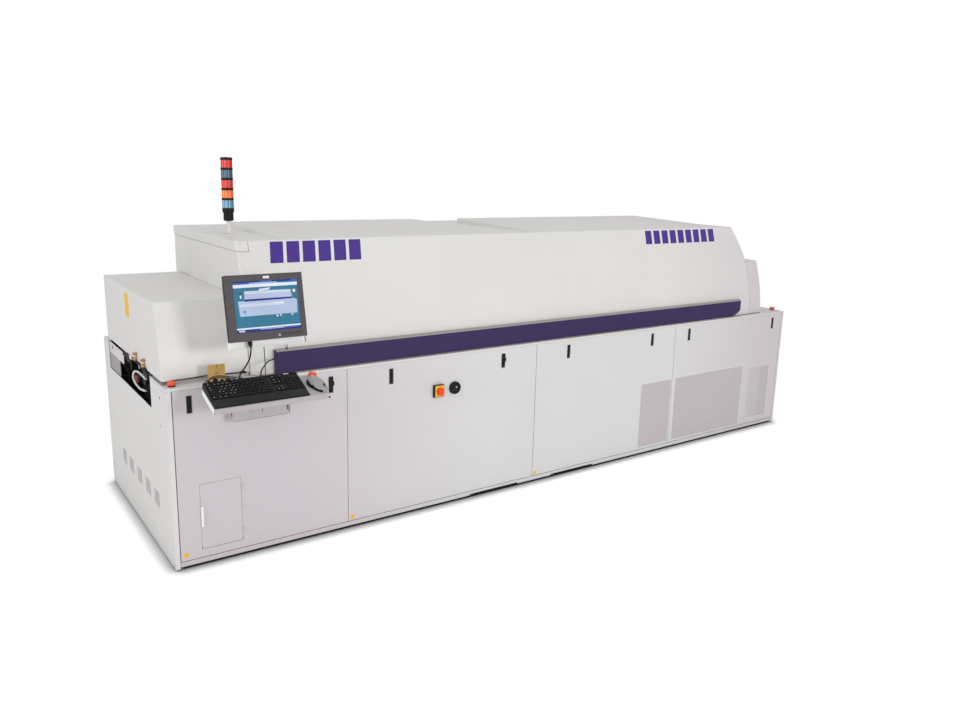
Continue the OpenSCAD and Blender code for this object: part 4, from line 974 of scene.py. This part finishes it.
def latch_details():
    """Finger lip, face line and rim of each lever."""
    low, high = 777, 865
    for panel, places in LATCHES.items():
        faces, rims = [], []
        for x in places:
            faces += [((x - 8, -0.4, 852), (x + 8, 2, 860), 0), ((x - 6, 0.4, 790), (x + 6, 1.4, 846), 1)]
            for x0, x1, z0, z1 in ((-14, -12, low, high), (12, 14, low, high), (-14, 14, high - 2, high),
                                   (-14, 14, low, low + 2)):
                rims.append(((x + x0, -0.7, z0), (x + x1, 0.4, z1)))
        blocks_piece("latch_faces_%d" % panel, faces, "levers_%d" % panel, [BLACK, KEYS], 0.8)
        blocks_piece("latch_rims_%d" % panel, rims, "panel_%d" % panel, RIM_SHADE, 0.3)


def lock_keys():
    """Keys left in two of the locks. They turn with the levers."""
    bow = ((-12, 858), (2, 866), (12, 858), (10, 842), (17, 838), (17, 818), (8, 812), (10, 796), (2, 786),
           (-6, 788), (-10, 800), (-12, 830))
    for name, panel in (("key_first", 1), ("key_second", 2)):
        lock_x = LATCHES[panel][1]
        bm = bmesh.new()
        add_prism(bm, [at(lock_x + x, -5, z) for x, z in bow], (0, 3.5, 0))
        add_block(bm, (lock_x - 3, -3, 826), (lock_x + 3, 1, 846), 0.6)
        riding_piece(name, bm, "levers_%d" % panel, BLACK)
    screws_piece("lock_dot", [(806, -0.1, 757)], FORWARD, "panel_1", BLACK)


def switch_details():
    """Yellow face, rounded red handle and the round socket beside it."""
    x, z = 1463, 701
    blocks_piece("switch_face", [((x - 28.5, -23.2, 668), (x + 28.5, -21.5, 734))], "panel_2", YELLOW, 1.2)
    bm = bmesh.new()
    add_lathe(bm, [(22, 0), (22, 3), (20, 6), (18, 8), (0.5, 8.5)], (x, -23.4, z), FORWARD, 40)
    # The grip is an oval that is pinched at its top and bottom
    half_w, half_h = 18, 24
    grip = []
    for u, v in circle(1, 28):
        pinch = 1 if abs(v) < 0.7 else 0.86
        grip.append(at(x + half_w * u * pinch, -46, z + half_h * v))
    add_prism(bm, grip, (0, 17, 0))
    handle = riding_piece("switch_handle", bm, "switch_knob", RED, 40)
    bevel(handle, 0.003, 3)
    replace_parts(handle, "main_switch_knob")
    socket = [(36.3, 0), (36.3, 3), (33, 6), (28, 6), (26, 3.2), (12, 3.2), (11, 5), (1, 5)]
    pin = [(4.2, 0), (4.2, 1.2), (1, 1.6)]
    turned_parts("socket_face", [(socket, (1576, -8.5, 703), FORWARD), (pin, (1581, -13.4, 708), FORWARD, 1)],
                 "panel_2", [BLACK, PALE], 40)
    blocks_piece("socket_dash", [((1560, -12.6, 692), (1578, -11.4, 696))], "panel_2", MARK_DIM, 0.4)
    blocks_piece("panel_groove", [((1629, -0.3, 620), (1631, 0.3, 680))], "panel_2", RIM_SHADE, 0.1)


def panel_details():
    """Perforated inserts with shaded backs, hatch fittings and small blank stickers."""
    inserts = (("3", "panel_3", 3112, 3404, 60, 512, PERF), ("4a", "panel_4", 3452, 4195, 60, 515, PERF),
               ("4b", "panel_4", 4283, 4423, 90, 486, PERF_LIGHT),
               ("4c", "panel_4", 4427, 4525, 90, 486, PERF))
    for tag, body, x0, x1, z0, z1, material in inserts:
        perforated("insert_" + tag, x0 + 0.5, x1 - 0.5, z0 + 0.5, z1 - 0.5, body, material)
        blocks_piece("insert_back_" + tag, [((x0 + 0.2, 1.6, z0 + 0.2), (x1 - 0.2, 2.2, z1 - 0.2))], body,
                     PERF_BACK, 0.1)
    blocks_piece("insert_divider", [((4423, 0.1, 90), (4427, 1.8, 486))], "panel_4", LILAC, 0.3)
    sticker = [(12, 0), (12, 0.5), (0.5, 0.5)]
    for number, x, z in ((1, 49, 73), (2, 928, 64), (3, 2195, 62)):
        turned_parts("sticker_%d" % number, [(sticker, (x, 0.05, z), FORWARD)],
                     "panel_%d" % number, LABEL, 28)
    knuckles = [([(3.2, 0), (3.2, 34)], (331.5, -4.5, z), UP) for z in (120, 240, 350)]
    turned_parts("hatch_hinge_line", knuckles, "hatch", LILAC, 16)
    # The grip is white coat brightened as painted highlight
    blocks_piece("hatch_grip", [((128, -9, 204), (140, -5.6, 306))], "hatch", LIT_WHITE, 1.2)


def gap_strips():
    """Folded returns seen at the bottom of the gaps between the front panels, painted grey as the shade in
    the gaps.
    """
    strips = [((x - 1.6, 1.6, 44), (x + 1.6, 5, 892)) for x in GAPS]
    blocks_piece("gap_strips", strips, "cabinet", RIM_SHADE, 0.2)


# ---------------------------------------------------------------- cabinet ends and deck

def end_louvres():
    """Five small louvred vents low on the infeed end."""
    half, middle_z, slats = 50, 277, 7
    z0, z1 = middle_z - 42.5, middle_z + 42.5
    for number, y in enumerate((296, 471, 655, 835, 1003)):
        bm = bmesh.new()
        add_block(bm, (2.4, y - half, z0), (2.9, y + half, z1), 0, 1)
        for k in range(slats):
            z = z0 + 5 + k * 11.6
            slat = [at(x, y - half, z + rise) for x, rise in ((0.1, 8), (2.4, 0), (2.8, 1), (0.7, 9))]
            add_prism(bm, slat, (0, 2 * half, 0))
        for rib_y in (y - 25, y, y + 25):
            add_block(bm, (0.2, rib_y - 3, z0), (1.2, rib_y + 3, z1))
        riding_piece("end_louvre_%d" % (number + 1), bm, "cabinet", [WHITE, PERF_BACK])


def end_details():
    """Screws of both end panels, and dark sheets painted as the shade inside the conveyor notches, clear of
    rails and belt.
    """
    screws_piece("end_screws", [(0.1, 123, 700), (0.1, 1322, 128)], LEFT, "cabinet")
    far_screws = [(END - 0.1, y, z) for y in (40, 1330) for z in (120, 430, 720, 860)]
    screws_piece("far_end_screws", far_screws, RIGHT, "cabinet")
    shade_sheets = []
    for x0, x1 in ((24, 58), (END - 38, END - 24)):
        shade_sheets += [((x0, y, 700), (x1, y + 3, 893)) for y in (291, 1231)]
    for x0, x1 in ((4, 56), (END - 56, END - 4)):
        shade_sheets += [((x0, y0, 742), (x1, y1, 745)) for y0, y1 in ((291, 352), (1024, 1234))]
    blocks_piece("notch_shade_sheets", shade_sheets, "cabinet", SEAM, 0.5)


def infeed_fittings():
    """Drive guard, air fittings, tube and brackets that show in the infeed notch."""
    guard_y, guard_z = 325, 818
    disc = [(6, 0), (52, 0), (54, 3), (54, 9), (50, 12), (40, 12),
            (38, 9), (22, 9), (20, 13), (9, 14), (8, 18), (1, 18)]
    nut = [(1, 0), (4, 0), (4, 3), (1, 3.4)]
    parts = [(disc, (56, guard_y, guard_z), LEFT)]
    parts += [(nut, (43, guard_y + u, guard_z + v), LEFT, 1) for u, v in circle(31, 6, 0.3)]
    turned_parts("drive_guard", parts, "cabinet", [DARK, ZINC], 36)
    # Air fittings that stand on the end of the cover, over the path of the boards
    stem = [(7, 0), (11, 1), (11, 16), (9, 18), (7, 19)]
    neck = [(7, 19), (7, 27)]
    cap = [(11, 29), (12, 31), (12, 39), (9, 41), (1, 41)]
    for name, y in (("air_fitting_near", 382), ("air_fitting_far", 549)):
        parts = [(outline, (-6, y, 931), UP, index) for index, outline in enumerate((stem, neck, cap))]
        turned_parts(name, parts, "cabinet", [BRASS_PLATE, PALE, COPPER], 20)
    blocks_piece("infeed_head", [((-5, 344, 917), (4, 640, 930)), ((-4, 664, 884), (6, 770, 926)),
                                 ((-3, 770, 896), (5, 860, 922)), ((-2, 330, 884), (6, 424, 914)),
                                 ((-2, 664, 850), (4, 690, 884))],
                 "cabinet", DARK, 3)
    blocks_piece("infeed_joint", [((-6, 640, 912), (2, 690, 932))], "cabinet", PALE, 4)
    tube_piece("air_tube", [(8, 408, 862), (6, 470, 868), (6, 560, 866), (5, 640, 850), (5, 676, 815),
                            (7, 640, 788), (12, 560, 776), (18, 474, 784)],
               5.5, "cabinet", PALE)
    blocks_piece("sensor_block", [((12, 640, 786), (24, 672, 826), 0), ((16, 600, 800), (30, 636, 850), 1),
                                  ((14, 540, 838), (26, 596, 868), 1), ((10, 430, 824), (30, 474, 866), 1)],
                 "cabinet", [RUST, DARK], 2)
    blocks_piece("rear_bracket", [((4, 980, 748), (8, 1233, 838), 0), ((4, 880, 838), (8, 1233, 903), 1)],
                 "cabinet", [BRACKET, LEDGE], 1)
    turned_parts("bracket_hole", [([(9, 0), (9, 1), (1, 1.2)], (3.8, 1152, 880), LEFT)], "cabinet", SEAM)


def cover_details():
    """Blank label and lower seam of the infeed cover, the deck's groove and what lies under the covers."""
    blocks_piece("amber_label", [((1.4, 662, 1130), (2.2, 742, 1255))], "cabinet", LABEL, 0.3)
    blocks_piece("cover_seams", [((3, 76.4, 922.4), (411, 78.8, 924.4))], "cabinet", SEAM, 0.2)
    blocks_piece("deck_groove", [((24, 13, DECK - 0.3), (END - 24, 15, DECK + 0.25))], "cabinet",
                 RIM_SHADE, 0.1, slot="white_coat")
    ledges = [((50, 82, DECK), (416, 86, 922.5), 0), ((14, 96, DECK), (50, 100, 922.5), 1)]
    blocks_piece("cover_ledge", ledges, "cabinet", [LEDGE, BRACKET], 0.5)
    blocks_piece("outfeed_sill", [((4130, 39, DECK + 0.2), (4398, 41, DECK + 3.4))], "cabinet", SEAM, 0.3)


def stop_heads():
    """Mushroom heads that flare over the bases; the front one leans with the tray it stands on."""
    head = [(17.5, 0.2), (20.3, 2), (20.3, 6), (19.6, 8), (19.9, 10),
            (19, 13), (15, 15.6), (8, 16.8), (0.5, 17)]
    neck = [(8, -0.7), (8, 3)]
    for name, place in (("infeed", ROOM @ moved(40, 50, DECK)), ("front", TRAY @ moved(632, 160, 0)),
                        ("outfeed", ROOM @ moved(4606, 78, DECK))):
        foot, up = place @ Vector((0, 0, 6.8 * MM)), place.to_3x3() @ Vector(UP)
        cap = turned_parts("stop_head_" + name, [(head, foot, up), (neck, foot, up)], "stop_" + name, RED, 40)
        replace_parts(cap, "estop_" + name)


def skirt_faces():
    """Coated faces over the plain skirt, and dark strips set back under it that are painted shadow beneath
    the skirt.
    """
    # Painted shadow: dark strips set back under the skirt, where its shadow falls
    blocks_piece("plinth_shadow_strips", [((40, 12, 1), (4610, 15, 18)), ((40, 1355, 1), (4610, 1358, 18))],
                 "cabinet", DARK, 0.5)
    faces = []
    for x0, x1, low in ((24, 1700, 16), (1700, 2060, 24.2), (2060, 2330, 16), (2330, 2690, 24.2),
                        (2690, END - 24, 16)):
        faces += [((x0, y, low), (x1, y + 1, 40)) for y in (2.2, 1366.8)]
    blocks_piece("skirt_faces", faces, "cabinet", LILAC, 0.2)


def foot_details():
    """Rubber pads and lock nuts of the levelling feet."""
    pad, nut = [(29, 0.4), (29, 3), (24, 7), (12, 9), (11, 9)], [(14, 9), (14, 13)]
    places = [(x, y, 0) for x in (29, *GAPS, 4621) for y in (55, 1315)]
    parts = [part for place in places for part in ((pad, place, UP, 0), (nut, place, UP, 1))]
    turned_parts("foot_pads", parts, "cabinet", [RUBBER, ZINC])


# ---------------------------------------------------------------- rear, which the photograph doesn't show

def exhaust_flanges():
    ducts, duct_z = (650, 3960), 1200
    collar = [(76, 0), (98, 0), (98, 3), (78, 4), (76.5, 6)]
    band = [(75.2, 0), (77.5, 1), (77.5, 5), (75.2, 6)]
    parts = []
    for x in ducts:
        parts += [(collar, (x, HOUSING + 0.2, duct_z), REARWARD), (band, (x, HOUSING + 56, duct_z), REARWARD)]
    turned_parts("exhaust_flanges", parts, "cabinet", ZINC, 48)
    spots = [(x + u, HOUSING + 2.8, duct_z + v) for x in ducts for u, v in circle(88, 6, 0.26)]
    screws_piece("flange_screws", spots, REARWARD, "cabinet")


def rear_panel_details():
    """Screws, latches and louvre hoods of the four rear panels."""
    splits = (24, *GAPS, END - 24)
    half_louvre = 202
    hood = ((REAR - 0.2, 9), (REAR + 5, 2), (REAR + 5, 1), (REAR - 0.2, 7.6))
    screws, latches = [], []
    louvres = bmesh.new()
    for left, right in zip(splits, splits[1:]):
        screws += [(x, REAR - 0.1, z) for x in (left + 22, right - 22) for z in (70, 470, 870)]
        for x in (left + 120, right - 120):
            latches += [((x - 14, REAR - 0.4, 800), (x + 14, REAR + 3, 860), 0),
                        ((x - 9, REAR + 2, 806), (x + 9, REAR + 6, 852), 1)]
        for k in range(8):
            z = 138 + 22 * k
            ring = [at((left + right) / 2 - half_louvre, y, z + rise) for y, rise in hood]
            add_prism(louvres, ring, (2 * half_louvre, 0, 0))
    screws_piece("rear_screws", screws, REARWARD, "cabinet")
    blocks_piece("rear_latches", latches, "cabinet", [ZINC, BLACK], 1.2, slot="black_plastic")
    riding_piece("rear_louvres", louvres, "cabinet", WHITE)


def housing_details():
    """Seams and screws of the rear housing, and the supply entry below it."""
    blocks_piece("housing_seams", [((x, HOUSING - 0.4, 908), (x + 2, HOUSING + 0.3, 1494))
                                   for x in (1380, 2300, 3260)],
                 "cabinet", SOFT_SEAM, 0.2)
    joints = (450, 1360, 1402, 2280, 2322, 3240, 3282, 4200)
    screws = [(x, HOUSING - 0.1, z) for x in joints for z in (930, 1470)]
    screws_piece("housing_screws", screws, REARWARD, "cabinet")
    blocks_piece("supply_box", [((4050, REAR - 0.5, 560), (4250, REAR + 8, 760), 0),
                                ((4062, REAR + 6, 572), (4238, REAR + 9, 748), 1)],
                 "cabinet", [ZINC, BRACKET], 1.5)
    gland = [(17, 0), (17, 4), (13, 5), (13, 8), (6, 8.5)]
    turned_parts("cable_glands", [(gland, (x, REAR, 500), REARWARD) for x in (4110, 4190)], "cabinet", BLACK)


# ---------------------------------------------------------------- camera, light and floor

def soft_panel(name, place, target, size, power):
    """A rectangular lamp turned towards a target."""
    light = bpy.data.lights.new(name, "AREA")
    light.shape = "RECTANGLE"
    light.size, light.size_y = size
    light.energy = power
    lamp = bpy.data.objects.new(name, light)
    bpy.context.scene.collection.objects.link(lamp)
    lamp.location = at(*place)
    lamp.rotation_euler = (at(*target) - at(*place)).to_track_quat("-Z", "Y").to_euler()


def camera_only(tree, seen, felt):
    """A value that camera rays see, and another one that lights the object."""
    ray = tree.nodes.new("ShaderNodeLightPath").outputs["Is Camera Ray"]
    return stretch(tree, ray, 0, 1, felt, seen)


def studio():
    """White surround, a soft key from the right of the operator and a wide fill on the infeed end."""
    bpy.context.scene.view_settings.view_transform = "Standard"
    world = bpy.data.worlds.new("studio")
    bpy.context.scene.world = world
    world.use_nodes = True
    tree = world.node_tree
    set_inputs(tree, tree.nodes["Background"], Color=(1.0, 0.997, 1.0),
               Strength=camera_only(tree, 1.02, 0.66))
    soft_panel("key", (2600, -7900, 2560), (900, 0, 1000), (1.4, 1.4), 165)
    soft_panel("fill", (-5600, -1400, 2600), (500, 300, 800), (3.5, 3), 95)
    soft_panel("top", (2300, 600, 6500), (2300, 600, 1500), (6, 3), 30)


def floor():
    """A pale floor with a soft contact shadow painted close to what stands on it."""
    bm = bmesh.new()
    bmesh.ops.create_grid(bm, x_segments=1, y_segments=1, size=60)
    material, tree, bsdf = node_material("floor_pale")
    # Painted contact shadow: occlusion darkens the floor's colour and its glow to the camera near the machine
    contact_shadow = add_node(tree, "ShaderNodeAmbientOcclusion", Distance=0.075).outputs["AO"]
    shaded_tint = mix_colours(tree, maths(tree, "POWER", contact_shadow, 1.8), (0.10, 0.095, 0.09), (0.86, 0.86, 0.87))
    set_inputs(tree, bsdf, Base_Color=shaded_tint, Roughness=0.9, Emission_Color=shaded_tint,
               Emission_Strength=camera_only(tree, 0.5, 0.0))
    make_piece("floor", bm, material, closed=False)


def camera():
    """Eye height of a standing person, off the infeed corner, turned towards the outfeed end."""
    turn, dip, roll = math.radians(35.889), math.radians(12.324), math.radians(1.613)
    forward = Vector((math.sin(turn) * math.cos(dip), math.cos(turn) * math.cos(dip), -math.sin(dip)))
    level = forward.cross(Vector(UP)).normalized()
    above = level.cross(forward)
    right = level * math.cos(roll) + above * math.sin(roll)
    up = above * math.cos(roll) - level * math.sin(roll)
    data = bpy.data.cameras.new("camera")
    data.sensor_width = 36
    data.lens = 30.531
    data.shift_x, data.shift_y = -0.00987, -0.01467
    view = bpy.data.objects.new("camera", data)
    bpy.context.scene.collection.objects.link(view)
    place = Matrix.Translation(at(-904.2, -3758.6, 1934.9))
    view.matrix_world = place @ Matrix((right, up, -forward)).transposed().to_4x4()
    bpy.context.scene.camera = view


dress_cad_nodes()
signal_tower()
screen_housing()
screen_picture()
screen_cables()
keyboard_details()
mouse_body()
shelf_details()
gold_plate()
keyboard_leads()
hood_front_details()
hood_top_details()
latch_details()
lock_keys()
switch_details()
panel_details()
end_louvres()
end_details()
infeed_fittings()
cover_details()
exhaust_flanges()
rear_panel_details()
housing_details()
stop_heads()
foot_details()
skirt_faces()
gap_strips()
studio()
floor()
camera()
